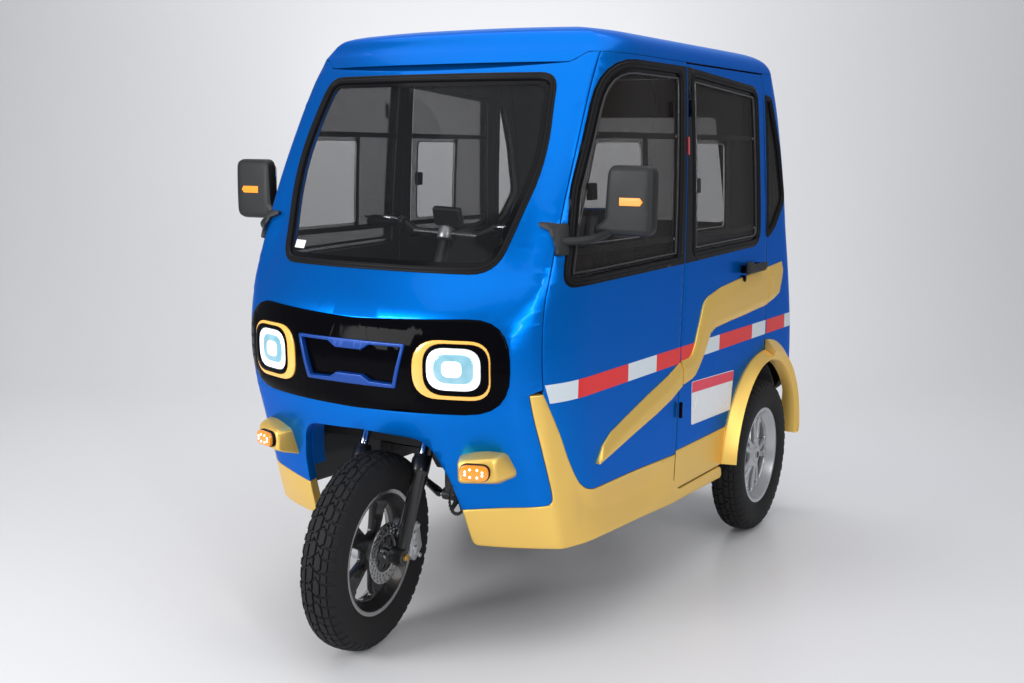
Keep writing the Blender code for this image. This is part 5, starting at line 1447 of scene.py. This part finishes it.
def drawn_on(spot):
    """A placer for flat pieces that puts each (u, v, out) where spot says."""
    return lambda flat: np.array([spot(*point) for point in flat])


def beside_wheel(joint, mirror=1.0):
    matrix = on_wheel(joint, mirror)
    return drawn_on(lambda u, v, out: matrix @ Vector((out, u, v)))


def casting(name, joint, material, windows, thickness, bulge, mirror=1.0):
    """The wheel's disc of spokes, dished towards its outside."""
    def dished(u, v):
        reach = np.hypot(u, v)
        return bulge * (1 - (reach / 0.14) ** 2) + 0.004 * (reach > 0.12)

    return plate(
        name, beside_wheel(joint, mirror), circle_outline(0.1405), material, thickness, joint["child"],
        edge=0.0045, holes=windows, step=0.02, top=thickness / 2, shift=dished)


front = joints["front_wheel_spin"]
tyre("front_tyre", front)
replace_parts(turned_piece("front_rim", front, rim_black, rim_section, smooth=30, steps=96), "front_rim")
rim_lip = (
    (0.0412, 0.1742), (0.0424, 0.1695), (0.0410, 0.1590), (0.0402, 0.1600), (0.0416, 0.1692),
    (0.0406, 0.1732))
for name, side in (("front_rim_lip", 1), ("front_rim_lip_far", -1)):
    turned_piece(name, front, bare_steel, [(side * across, radius) for across, radius in rim_lip], steps=96)
casting("front_spokes", front, rim_black,
        [window_between(72 * i + 14, 72 * i + 58, 0.052, 0.132, 0.016) for i in range(5)], 0.020, 0.006)
turned_piece(
    "front_hub", front, rim_silver,
    ((-0.046, 0.0125), (-0.046, 0.024), (-0.036, 0.030), (0.030, 0.034), (0.044, 0.034), (0.046, 0.0125)))
disc_holes = [
    circle_outline(0.0030, 8, polar(radius, 360 * (i + shift) / 22))
    for radius, shift in ((0.060, 0.0), (0.068, 0.35), (0.076, 0.7)) for i in range(22)]
plate(
    "brake_disc", beside_wheel(front), circle_outline(0.082, 96), bare_steel, 0.004, "front_wheel",
    edge=0.0004, step=0, top=0.054, holes=[circle_outline(0.050, 60), *disc_holes])
carrier_holes = [circle_outline(0.0085, 14, polar(0.037, 60 * i + 30)) for i in range(6)]
plate(
    "disc_carrier", beside_wheel(front), circle_outline(0.0545, 60), rim_black, 0.005, "front_wheel",
    edge=0.001, step=0, top=0.0500, holes=[circle_outline(0.0130, 24), *carrier_holes])
for side in ("left", "right"):
    joint, out = joints[f"rear_wheel_{side}_spin"], 1.0 if side == "left" else -1.0
    tyre(f"rear_tyre_{side}", joint)
    rim = turned_piece(f"rear_rim_{side}", joint, rim_silver, rim_section, out, 30, 96)
    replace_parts(rim, f"rear_rim_{side}")
    pairs = []
    for i in range(5):
        pairs.append(window_between(72 * i + 16, 72 * i + 56, 0.046, 0.131, 0.012))
        pairs.append(window_between(72 * i - 5.5, 72 * i + 5.5, 0.058, 0.128, 0.006))
    casting(f"rear_spokes_{side}", joint, rim_silver, pairs, 0.018, 0.014, out)
    turned_piece(
        f"rear_hub_{side}", joint, rim_silver,
        (
            (-0.020, 0.0140), (-0.020, 0.036), (0.016, 0.036), (0.022, 0.030), (0.0265, 0.026),
            (0.0270, 0.0140)),
        out)
    turned_piece(
        f"rear_nut_{side}", joint, bare_steel,
        ((0.0262, 0.0136), (0.0262, 0.0175), (0.0300, 0.0175), (0.0300, 0.0136)), out, steps=6, smooth=20)

# ---------- fork
# Telescopic fork: black lower legs with dust seals, chrome upper tubes, one forged yoke and the
# steering stem. The left leg carries a cast brake caliper over the disc.
steer = joints["steer"]
steer_up = Vector(steer["axis"]).normalized()
steer_across = Vector(front["axis"])
steer_across = (steer_across - steer_up * steer_across.dot(steer_up)).normalized()
steering = (Matrix.Translation(steer["pos_m"])
            @ Matrix((steer_across, steer_up.cross(steer_across), steer_up)).transposed().to_4x4())
front_axle = steering.inverted() @ Vector(front["pos_m"])
leg_x, leg_y = 0.092, front_axle.y + 0.011
yoke_low, yoke_high, stem_top = 0.318, 0.346, 0.868
black_enamel = surface(
    "black_enamel", (0.010, 0.010, 0.011), (0.22, 0.36), 300, bump=(0.1, 0.0003), slot="black_steel",
    Coat_Weight=0.3)
chrome = surface("chrome", (0.46, 0.47, 0.48), (0.07, 0.16), 60, 1.0, slot="silver_alloy")
cast_silver = surface(
    "cast_silver", (0.56, 0.57, 0.59), (0.30, 0.46), 380, 0.85, (0.3, 0.0004), slot="silver_alloy")
brass = surface("brass", (0.72, 0.46, 0.14), (0.2, 0.35), 200, 1.0, slot="gold_paint")


def in_steering(local):
    """A placer for plates drawn in the steering's own frame, Z up its axis and X along its axle."""
    return drawn_on(lambda u, v, out: steering @ Vector(local(u, v, out)))


def steering_piece(bm, name, material, smooth=40):
    return fitted(bm, name, material, steering, "steering", smooth)


def steering_tube(name, points, radius, sides, material):
    bm = bmesh.new()
    tube(bm, points, radius, sides)
    return steering_piece(bm, name, material)


def stepped(bm, x, y, steps, sides=24):
    """A leg turned up the steering's direction from (height, radius) steps."""
    tube(bm, [(x, y, z) for z, _ in steps], [radius for _, radius in steps], sides)


lower_leg = (
    (front_axle.z - 0.026, 0.0120), (front_axle.z - 0.020, 0.0190), (0.206, 0.0190), (0.209, 0.0215),
    (0.213, 0.0235), (0.216, 0.0262), (0.246, 0.0262), (0.250, 0.0240), (0.259, 0.0225), (0.262, 0.0160))
bm = bmesh.new()
for side in (1, -1):
    stepped(bm, side * leg_x, leg_y, lower_leg)
    lug = [(side * (leg_x + reach), *front_axle.yz) for reach in (-0.019, -0.017, 0.017, 0.019)]
    tube(bm, lug, [0.0200, 0.0225, 0.0225, 0.0200], 28)
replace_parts(steering_piece(bm, "fork_legs", black_enamel), "fork")
bm = bmesh.new()
for side in (1, -1):
    stepped(bm, side * leg_x, leg_y, ((0.256, 0.0130), (yoke_low + 0.010, 0.0130)))
steering_piece(bm, "fork_uppers", chrome)
bm = bmesh.new()
stepped(bm, 0, 0, ((yoke_low + 0.006, 0.0160), (stem_top - 0.002, 0.0160), (stem_top, 0.0145)), 28)
steering_piece(bm, "steering_stem", black_enamel)
yoke_corners = [(0.112, -0.048, 0.022), (0.112, -0.002, 0.022), (0.045, 0.028, 0.025)]
plate("fork_yoke", in_steering(lambda u, v, out: (u, v, yoke_high + out)),
      rounded([*yoke_corners, *mirrored(yoke_corners)]), black_enamel, yoke_high - yoke_low, "steering",
      edge=0.004, step=0)
# The nut's six flats and the axle's end, as (out from the leg, radius).
nut_section = ((0.0188, 0.0060), (0.0188, 0.0105), (0.0255, 0.0105), (0.0262, 0.0095), (0.0262, 0.0060))
end_section = ((0.0170, 0.0005), (0.0170, 0.0058), (0.0290, 0.0058), (0.0300, 0.0045), (0.0300, 0.0005))
bm = bmesh.new()
for section, steps in ((nut_section, 6), (end_section, 24)):
    spun(bm, [(leg_x + out, radius) for out, radius in section], steps)
fitted(bm, "front_axle_nut", brass, on_wheel(front), "steering", 20)
turned_piece("front_axle_spacer", front, chrome,
             ((0.0462, 0.0090), (0.0462, 0.0150), (0.0560, 0.0150), (0.0580, 0.0125), (0.0728, 0.0125),
              (0.0728, 0.0090)), smooth=30, steps=32, body="steering")

# The caliper: an outer and an inner half, bolted together by a bridge that clears the disc.
disc_clear, caliper_back = 0.0870, 0.1180


def round_axle(radius, degrees):
    """A place on the side view of the front wheel, turned up from straight behind the axle."""
    across, up = polar(radius, degrees)
    return front_axle.y + across, front_axle.z + up


def caliper_part(name, outline, outer_x, thickness):
    plate(
        name, in_steering(lambda u, v, out: (outer_x + out, u, v)), outline, cast_silver, thickness,
        "steering", edge=0.003, step=0)


caliper_outline = rounded([
    (*round_axle(caliper_back, 66), 0.012), (*round_axle(0.058, 70), 0.008),
    (*round_axle(0.052, 40), 0.010), (*round_axle(0.058, 4), 0.010), (*round_axle(0.088, -4), 0.014),
    (*round_axle(caliper_back, 20), 0.014)])
caliper_part("caliper_outer", caliper_outline, 0.1000, 0.0410)
caliper_part("caliper_inner", caliper_outline, 0.0500, 0.0160)
caliper_part(
    "caliper_bridge",
    rounded([
        *[round_axle(caliper_back - 0.001, a) for a in (24, 36, 48, 60)],
        *[round_axle(disc_clear, a) for a in (60, 48, 36, 24)]]),
    0.0960, 0.0600)
bm = bmesh.new()
for radius, degrees, size in (
        (0.078, 18, 0.0140), (0.080, 50, 0.0140), (0.104, 8, 0.0065), (0.106, 58, 0.0065)):
    y, z = round_axle(radius, degrees)
    tube(bm, [(0.0985, y, z), (0.1030, y, z), (0.1045, y, z)], [size, size, 0.75 * size], 20)
steering_piece(bm, "caliper_caps", cast_silver)
hose_route = [
    (0.080, *round_axle(0.112, 56)), (0.086, 0.022, 0.130), (0.094, 0.020, 0.190), (0.098, 0.016, 0.250),
    (0.098, 0.012, 0.290), (0.096, 0.002, yoke_low - 0.012), (0.096, -0.004, yoke_low + 0.003)]
steering_tube("brake_hose", through(hose_route), 0.0034, 10, rubber_black)

# ---------- handlebar
# A bent steel bar in a clamp, with ribbed rubber grips, chrome levers and a small display.
bar_z, grip_rise = stem_top + 0.020, 0.030
bar_end, grip_start = Vector((0.283, 0.0494, bar_z + grip_rise)), Vector((0.170, 0.0149, bar_z + grip_rise))
half_bar = [tuple(bar_end), tuple(grip_start), (0.150, 0.0090, bar_z + 0.029), (0.100, 0.0010, bar_z + 0.002),
            (0.085, 0.0, bar_z)]
bar_tube = steering_tube("bar_tube", through([*half_bar, *mirrored(half_bar)], 5), 0.0110, 20, black_enamel)
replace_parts(bar_tube, "handlebar")
bm = bmesh.new()
stepped(bm, 0, 0, ((stem_top + 0.0003, 0.0220), (stem_top + 0.003, 0.0240), (stem_top + 0.033, 0.0240),
                   (stem_top + 0.036, 0.0215)), 32)
steering_piece(bm, "bar_clamp", cast_silver)
grips, levers, perches = bmesh.new(), bmesh.new(), bmesh.new()
ribs = 16
for side in (1, -1):
    turn = Vector((side, 1, 1))
    spots, sizes = [], []
    for i in range(ribs):
        for share, size in ((0.0, 0.0148), (0.25, 0.0160), (0.65, 0.0160), (0.9, 0.0148)):
            spots.append(grip_start.lerp(bar_end, (i + share) / ribs) * turn)
            sizes.append(size)
    tube(grips, [grip_start.lerp(bar_end, -0.02) * turn, *spots, bar_end.lerp(grip_start, 0.01) * turn,
                 bar_end * turn], [0.0165, *sizes, 0.0165, 0.0150], 20)
    lever = [(0.148, -0.010, bar_z + 0.024), (0.160, -0.026, bar_z + 0.022), (0.190, -0.030, bar_z + 0.023),
             (0.235, -0.020, bar_z + 0.026), (0.266, -0.006, bar_z + 0.028)]
    route = [Vector(point) * turn for point in through(lever, 6)]
    tube(levers, route, [0.0062 - 0.0022 * i / len(route) for i in range(len(route) - 1)] + [0.0055], 14)
    for ends, size, sides in (
            (((0.138, 0.006, 0.022), (0.164, 0.012, 0.030)), 0.0155, 20),
            (((0.150, 0.004, 0.026), (0.149, -0.014, 0.024)), [0.0100, 0.0075], 16)):
        tube(perches, [Vector((x, y, bar_z + z)) * turn for x, y, z in ends], size, sides)
steering_piece(grips, "grips", rubber_black)
steering_piece(levers, "brake_levers", chrome, 60)
steering_piece(perches, "lever_perches", black_enamel)
display_tilt = math.radians(-42)
display_turn = Matrix.Translation((0, -0.006, bar_z + 0.052)) @ Matrix.Rotation(display_tilt, 4, "X")
display_place = in_steering(lambda u, v, out: display_turn @ Vector((u, v, out)))
screen_glow = surface(
    "screen_glow", (0.25, 0.38, 0.55), (0.1, 0.2), 30, slot="lamp_lens",
    Emission_Color=(0.45, 0.62, 0.95, 1), Emission_Strength=0.35)
plate("display_case", display_place, box_outline(-0.044, 0.044, -0.029, 0.029, 0.009), moulded_black,
      0.018, "steering", edge=0.004, step=0)
plate("display_screen", display_place, box_outline(-0.036, 0.036, -0.021, 0.021, 0.004), screen_glow,
      0.0012, "steering", top=0.0006, edge=0.0004, step=0)
steering_tube(
    "display_stalk", [(0, 0.006, bar_z + 0.010), (0, 0.002, bar_z + 0.040)], 0.0085, 16, moulded_black)

# ---------- crank and pedals
# A steel chainring with kidney cut-outs on a short axle, forged arms and moulded pedals.
crank = joints["crank_spin"]
crank_place = on_wheel(crank)
arm_length, arm_direction, teeth = 0.075, math.degrees(math.atan2(-0.60, 0.80)), 30
moulded_pedal = surface(
    "moulded_pedal", (0.016, 0.016, 0.017), (0.5, 0.7), 600, bump=(0.3, 0.0005), slot="black_steel")


def beside_crank(outer_x, side=1):
    return drawn_on(lambda u, v, out: crank_place @ Vector((side * (outer_x + out), side * u, side * v)))


def on_pedal(side):
    return drawn_on(lambda u, v, out: crank_place @ Vector((side * v, side * u, side * (eye.y + out))))


chainring = [
    Vector(polar(radius, 360 * (tooth + share) / teeth)) for tooth in range(teeth)
    for share, radius in ((0.0, 0.0565), (0.25, 0.0572), (0.42, 0.0600), (0.58, 0.0600), (0.75, 0.0572))]
kidneys = [rounded([*[(*polar(0.049, a), 0.004) for a in np.linspace(72 * i + 10, 72 * i + 62, 6)],
                    (*polar(0.024, 72 * i + 44), 0.005), (*polar(0.024, 72 * i + 28), 0.005)], 5, 0.01)
           for i in range(5)]
ring_piece = plate(
    "chainring", beside_crank(0.0325), chainring, black_enamel, 0.004, "crank", edge=0.0008, step=0,
    holes=[circle_outline(0.0085, 24), *kidneys])
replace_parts(ring_piece, "crankset")
axle_half = [(-0.0500, 0.0005), (-0.0500, 0.0070), (-0.0490, 0.0080)]
turned_piece("crank_axle", crank, chrome, [*axle_half, *mirrored(axle_half)], smooth=30, steps=28)
eye = Vector(polar(arm_length, arm_direction))
arm_outline = rounded(
    [Vector(polar(0.0135, arm_direction + a)) for a in range(90, 271, 15)]
    + [eye + Vector(polar(0.0100, arm_direction + a)) for a in range(-90, 91, 15)])
for side, name in ((1, "left"), (-1, "right")):
    plate(
        f"crank_arm_{name}", beside_crank(0.0475, side), arm_outline, black_enamel, 0.0120, "crank",
        edge=0.0025, step=0)
    slots = [box_outline(eye.x + low, eye.x + low + 0.0110, 0.054, 0.108, 0.003) for low in (-0.0150, 0.0040)]
    plate(f"pedal_{name}", on_pedal(side), box_outline(eye.x - 0.0200, eye.x + 0.0200, 0.0490, 0.1150, 0.006),
          moulded_pedal, 0.0170, "crank", top=0.0085, edge=0.0030, step=0.008, holes=slots,
          shift=lambda u, v: 0.0012 * (np.cos(v * 2 * math.pi / 0.012) - 1))
    bm = bmesh.new()
    tube(
        bm, [(side * x, side * eye.x, side * eye.y) for x in (0.0400, 0.0470, 0.1120)],
        [0.0060, 0.0060, 0.0050], 18)
    fitted(bm, f"pedal_spindle_{name}", chrome, crank_place, "crank", 40)

# ---------- dashboard
# A grained grey moulding under the windscreen that follows the nose, with two round air outlets,
# a row of plain switches and a rubber boot where the steering stem comes through.
dash_grey = surface(
    "dash_grey", (0.075, 0.080, 0.088), (0.45, 0.62), 900, bump=(0.5, 0.0006), slot="grey_plastic")
dash_half = 0.398
dash_side = side_outline(
    (0.097, 0.802, 0.01), (0.200, 0.802, 0.02), (0.293, 0.870, 0.015), (0.298, 0.955, 0.018),
    (0.270, 0.983, 0.020), (0.150, 0.983, 0.030), (0.097, 0.955, 0.015))
dash_end = [(-dash_half, 0.012), (-dash_half + 0.004, 0.004), (-dash_half + 0.012, 0.0)]
bm = bmesh.new()
dash_rings = [*dash_end, *[(x, 0.0) for x in np.linspace(-0.37, 0.37, 21)], *mirrored(dash_end)]
skin(bm, [closed_loop(bm, [(x, *point) for point in shrunk(dash_side, inset)]) for x, inset in dash_rings])
dash = object_from(bm, "dash", dash_grey, "body")


def apply_modifier(piece, name):
    with bpy.context.temp_override(object=piece, active_object=piece, selected_objects=[piece]):
        bpy.ops.object.modifier_apply(modifier=name)


# The steering column's way through the moulding.
bm = bmesh.new()
stepped(bm, 0, 0, ((0.45, 0.0380), (0.95, 0.0380)), 40)
bmesh.ops.transform(bm, matrix=steering, verts=bm.verts)
column_mesh = bpy.data.meshes.new("column_cut")
bm.to_mesh(column_mesh)
bm.free()
column = bpy.data.objects.new("column_cut", column_mesh)
bpy.context.scene.collection.objects.link(column)
opening = dash.modifiers.new("opening", "BOOLEAN")
opening.operation, opening.solver, opening.object = "DIFFERENCE", "EXACT", column
apply_modifier(dash, "opening")
bpy.data.objects.remove(column)
dash.data.set_sharp_from_angle(angle=math.radians(35))
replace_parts(dash, "dashboard")
boot_foot = (steering.inverted() @ Vector((0, behind(0.21), 0.985))).z
boot = [(-0.004, 0.052), (0.004, 0.052), (0.006, 0.044)]
for fold in range(4):
    boot += [(0.010 + 0.008 * fold, 0.041 - 0.004 * fold), (0.014 + 0.008 * fold, 0.035 - 0.004 * fold)]
boot += [(height, radius - 0.003) for height, radius in boot[::-1]]
bm = bmesh.new()
spun(bm, [(boot_foot + height, radius) for height, radius in boot], 40)
fitted(bm, "stem_boot", rubber_black, steering @ Matrix.Rotation(math.radians(-90), 4, "Y"), "body", 30)


def on_dash(flat):
    """Lay (x, z, out) points on the dashboard's rear face."""
    x, z, out = flat.T
    y = behind(np.interp(z, (0.870, 0.955), (0.293, 0.298)))
    return np.stack([-x, y + out, z], 1)


outlet_z = 0.912
for i, x in enumerate((-0.30, 0.30)):
    plate(f"air_outlet_{i}", on_dash, circle_outline(0.030, 40, (x, outlet_z)), moulded_black, 0.010,
          top=0.0045, edge=0.002, step=0, holes=[circle_outline(0.024, 40, (x, outlet_z))])
    for j, (lift, reach) in enumerate(((-0.012, 0.021), (0.0, 0.0245), (0.012, 0.021))):
        vane_z = outlet_z + lift
        plate(
            f"air_vane_{i}_{j}", on_dash,
            box_outline(x - reach, x + reach, vane_z - 0.0015, vane_z + 0.0015, 0), moulded_black, 0.006,
            top=0.0025, edge=0.0005, step=0)
for i in range(5):
    x = -0.16 + 0.036 * i
    plate(f"rocker_{i}", on_dash, box_outline(x, x + 0.030, 0.902, 0.920, 0.003), moulded_black, 0.008,
          top=0.0050, edge=0.0015, step=0.006, shift=lambda u, v: 0.0018 * (v - 0.911) / 0.009)

# ---------- seats
# Foam pads under black leatherette with sewn channels and blue piping. Each is blown up and
# settled as cloth from a slightly smaller block, and then sewn.
leatherette = new_material("leatherette", (0.016, 0.017, 0.020), 0.5, slot="seat_leather", Sheen_Weight=0.15)
tree = leatherette.node_tree
place = add_node(tree, "ShaderNodeTexCoord")
pores = add_node(tree, "ShaderNodeTexVoronoi", {"Scale": 420.0}, feature="DISTANCE_TO_EDGE")
creases = add_node(tree, "ShaderNodeTexNoise", {"Scale": 18.0, "Detail": 6.0})
shine = add_node(tree, "ShaderNodeMapRange", {"To Min": 0.36, "To Max": 0.62})
tone = add_node(tree, "ShaderNodeMix", data_type="RGBA")
tone.inputs["A"].default_value = (0.009, 0.014, 0.024, 1.0)
tone.inputs["B"].default_value = (0.020, 0.028, 0.046, 1.0)
grain = add_node(tree, "ShaderNodeBump", {"Strength": 0.35, "Distance": 0.0006})
shader = tree.nodes["Principled BSDF"]
wire(
    tree, (place, "Object", pores, "Vector"), (place, "Object", creases, "Vector"),
    (creases, "Fac", shine, "Value"), (creases, "Fac", tone, "Factor"),
    (tone, "Result", shader, "Base Color"), (shine, "Result", shader, "Roughness"),
    (pores, "Distance", grain, "Height"), (grain, "Normal", shader, "Normal"))
piping_blue = surface(
    "piping_blue", (0.010, 0.060, 0.280), (0.38, 0.55), 500, bump=(0.3, 0.0004), slot="seat_leather")


def pad(name, size, place, channels, voxel, cap, replaces=()):
    """A foam pad of a size about its own middle; channels are sewn across it at these X."""
    bm = bmesh.new()
    bmesh.ops.create_cube(bm, size=1.0)
    bmesh.ops.scale(bm, vec=[length - 0.8 * cap for length in size], verts=bm.verts)
    bmesh.ops.bevel(
        bm, geom=bm.edges[:], offset=0.28 * min(size), offset_type="OFFSET", segments=3, profile=0.5,
        affect="EDGES", material=-1)
    bmesh.ops.transform(bm, matrix=place, verts=bm.verts)
    piece = object_from(bm, name, leatherette, "body", 180)
    remesh = piece.modifiers.new("remesh", "REMESH")
    remesh.mode, remesh.voxel_size = "VOXEL", voxel
    apply_modifier(piece, "remesh")
    start = np.array([vert.co for vert in piece.data.vertices])
    cloth = piece.modifiers.new("cloth", "CLOTH")
    cloth.settings.use_pressure = True
    cloth.settings.uniform_pressure_force = 4.0
    cloth.settings.effector_weights.gravity = 0.0
    cloth.collision_settings.use_collision = False
    cloth.point_cache.frame_start, cloth.point_cache.frame_end = 1, 20
    for step in range(1, 21):
        bpy.context.scene.frame_set(step)
    apply_modifier(piece, "cloth")
    bpy.context.scene.frame_set(1)
    moved = np.array([vert.co for vert in piece.data.vertices]) - start
    length = np.linalg.norm(moved, axis=1)[:, None]
    piece.data.vertices.foreach_set(
        "co", (start + moved * np.minimum(1, cap / np.maximum(length, 1e-9))).ravel())
    finer = piece.modifiers.new("finer", "SUBSURF")
    finer.levels = finer.render_levels = 1
    apply_modifier(piece, "finer")
    mesh = piece.data
    count = len(mesh.vertices)
    points, normals = np.empty(count * 3), np.empty(count * 3)
    mesh.vertices.foreach_get("co", points)
    mesh.vertex_normals.foreach_get("vector", normals)
    points, normals = points.reshape(-1, 3), normals.reshape(-1, 3)
    local = (points - np.array(place.translation)) @ np.array(place.to_3x3())
    across = normals @ np.array(place.to_3x3())[:, 2]
    sewn = sum(np.exp(-((local[:, 0] - x) / 0.0052) ** 2) for x in channels)
    puff = 0.35 + 0.65 * np.abs(across)
    points -= normals * (0.0065 * sewn * puff)[:, None]
    mesh.vertices.foreach_set("co", points.ravel())
    mesh.shade_smooth()
    mesh.update()
    if replaces:
        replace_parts(piece, *replaces)
    seams = bmesh.new()
    tree = BVHTree.FromObject(piece, bpy.context.evaluated_depsgraph_get())
    for face in (1, -1):
        height = face * 0.30 * size[2]
        loop = rounded([(sx * size[0] / 2, sy * size[1] / 2, 0.3 * min(size)) for sx, sy in
                        ((-1, -1), (1, -1), (1, 1), (-1, 1))], 6, 0.02)
        spots = []
        for point in [*loop, *loop[:2]]:
            hit, normal, _, _ = tree.find_nearest(place @ Vector((point.x, point.y, height)))
            spots.append(hit + normal * 0.0012)
        tube(seams, spots, 0.0032, 8)
    object_from(seams, f"{name}_piping", piping_blue, "body", 50)


def leaning(distance, z, degrees):
    """A pad's place, its face leaning back by an angle from level."""
    return Matrix.Translation((0, behind(distance), z)) @ Matrix.Rotation(math.radians(degrees), 4, "X")


seat_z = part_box("driver_seat")[0][2]
bench_channels = (-0.285, -0.140, 0.0, 0.140, 0.285)
pad(
    "driver_cushion", (0.415, 0.345, 0.090), leaning(0.850, seat_z + 0.050, 2.5),
    (-0.125, -0.042, 0.042, 0.125), 0.0068, 0.014, ("driver_seat",))
pad(
    "driver_back", (0.400, 0.400, 0.072), leaning(1.040, 0.950, 80), (-0.120, -0.040, 0.040, 0.120), 0.0068,
    0.014)
pad(
    "bench_cushion", (0.850, 0.350, 0.120), leaning(1.545, 0.628, 2.0), bench_channels, 0.0090, 0.016,
    ("rear_seat",))
pad("bench_back", (0.850, 0.345, 0.090), leaning(1.690, 0.850, 82), bench_channels, 0.0090, 0.014)

# Pressed pan and brackets under the driver's seat, and the bench's box with its front panel.
across_body = drawn_on(lambda y, z, out: (out, y, z))
plate(
    "seat_pan", across_body,
    side_outline(
        (0.680, seat_z, 0.006), (1.035, seat_z, 0.010), (1.105, 1.120, 0.006), (1.095, 1.122, 0.006),
        (1.024, seat_z + 0.014, 0.010), (0.680, seat_z + 0.012, 0.006)),
    moulded_black, 0.360, top=0.180, edge=0.003, step=0)
plate(
    "bench_box", across_body,
    side_outline(
        (1.385, 0.4655, 0.008), (1.735, 0.4655, 0.008), (1.735, 0.572, 0.008), (1.400, 0.572, 0.008)),
    dash_grey, 0.830, top=0.415, edge=0.004, step=0)


def facing_nose(distance):
    """A placer for plates that stand upright and face forwards."""
    return drawn_on(lambda u, v, out: (-u, behind(distance) - out, v))


for i, x in enumerate((-0.205, 0.205)):
    plate(f"bench_lid_{i}", facing_nose(1.392), box_outline(x - 0.165, x + 0.165, 0.485, 0.555, 0.010),
          moulded_black, 0.010, top=0.0055, edge=0.003, step=0)

# ---------- floor, housings and frame
# The moulded floor with its ribbed mats, the wheel housings, the battery box, and the black
# steel frame, axle and leaf springs. These keep the shapes that the frame gives.
floor_plastic = surface(
    "floor_plastic", (0.022, 0.023, 0.025), (0.6, 0.8), 260, bump=(0.6, 0.0010), slot="grey_plastic")
housing_plastic = surface(
    "housing_plastic", (0.030, 0.031, 0.034), (0.55, 0.75), 500, bump=(0.5, 0.0007), slot="grey_plastic")
frame_enamel = surface(
    "frame_enamel", (0.013, 0.013, 0.014), (0.32, 0.52), 240, bump=(0.3, 0.0005), slot="black_steel")
battery_coat = surface(
    "battery_coat", (0.035, 0.037, 0.040), (0.42, 0.58), 420, bump=(0.4, 0.0005), slot="black_steel")
for name, finish in (
        ("floor_pan", floor_plastic), ("wheel_housing_left", housing_plastic),
        ("wheel_housing_right", housing_plastic), ("battery_box", battery_coat),
        ("chassis_frame", frame_enamel), ("rear_axle", frame_enamel)):
    for holder in nodes[name].material_slots:
        holder.material = finish

floor_top, mat_thickness, rib_pitch, rib_width, rib_height = 0.465, 0.004, 0.016, 0.007, 0.0032
bm = bmesh.new()
for low, high, width, mat in ((0.430, 0.655, 0.600, 0.0), (1.050, 1.330, 0.770, mat_thickness)):
    for distance in np.arange(low, high, rib_pitch):
        middle = Matrix.Translation((0, behind(distance), floor_top + mat + 0.0012))
        bmesh.ops.create_cube(
            bm, size=1.0, matrix=middle @ Matrix.Diagonal((width, rib_width, rib_height, 1)))
bmesh.ops.bevel(
    bm, geom=bm.edges[:], offset=0.0008, offset_type="OFFSET", segments=1, profile=0.5, affect="EDGES",
    material=-1)
object_from(bm, "floor_ribs", rubber_black, "body", 30)
for i, x in enumerate((-0.075, 0.075)):
    slots = [box_outline(x - 0.040, x + 0.040, z, z + 0.006, 0.002) for z in 0.530 + 0.014 * np.arange(5)]
    plate(f"battery_vent_{i}", facing_nose(0.7195), box_outline(x - 0.050, x + 0.050, 0.520, 0.600, 0.008),
          moulded_black, 0.006, top=0.0045, edge=0.002, step=0, holes=slots)
axle_z = joints["rear_wheel_left_spin"]["pos_m"][2]
bm = bmesh.new()
for side in (1, -1):
    for across in (-0.0304, 0.0304):
        for reach in (-0.031, 0.031):
            x, y = side * (0.3075 + across), rear_axle_y + reach
            tube(bm, [(x, y, axle_z - 0.034), (x, y, axle_z + 0.062)], 0.0045, 10)
object_from(bm, "spring_bolts", bare_steel, "body", 40)
bm = bmesh.new()
for i in range(8):
    y, z = polar(0.070, 45 * i + 22)
    tube(bm, [(x, rear_axle_y + y, axle_z + z) for x in (0.058, 0.064, 0.066)], [0.0065, 0.0065, 0.0050], 6)
object_from(bm, "axle_cover_bolts", bare_steel, "body", 20)

# ---------- tail lamps and small fittings
# Red lamps on the tail's corners with an amber and a clear cell, and red reflectors on the pillars.
red_lens = surface("red_lens", (0.42, 0.008, 0.010), (0.08, 0.16), 80, slot="red_lens", Coat_Weight=0.6)
clear_lens = surface("clear_lens", (0.62, 0.63, 0.64), (0.08, 0.16), 80, slot="lamp_lens", Coat_Weight=0.6)
lamp_outline = rounded(
    [(0.387, 0.742, 0.015), (0.474, 0.742, 0.020), (0.470, 0.968, 0.020), (0.387, 0.968, 0.015)])
base = plate(
    "tail_lamp_left", on_tail, lamp_outline, moulded_black, 0.009, top=0.0088, edge=0.003, step=0.012)
both_sides(base, "tail_lamp")
for kind, low, high, finish in (
        ("stop", 0.838, 0.962, red_lens), ("turn", 0.790, 0.834, amber_lens),
        ("reverse", 0.748, 0.786, clear_lens)):
    cell = plate(
        f"tail_{kind}_left", on_tail, box_outline(0.393, 0.467, low, high, 0.008), finish, 0.005,
        top=0.0112, edge=0.002, step=0.006, shift=lambda u, v: 0.0004 * np.cos(u * 2 * math.pi / 0.012))
    both_sides(cell)
reflector_y, reflector_z = behind(0.872), 1.335
both_sides(plate(
    "pillar_reflector_left", on_flank,
    box_outline(
        reflector_y - 0.006, reflector_y + 0.006, reflector_z - 0.026, reflector_z + 0.026, 0.003),
    red_lens, 0.003, "door_left", top=0.0030, edge=0.0008, step=0))
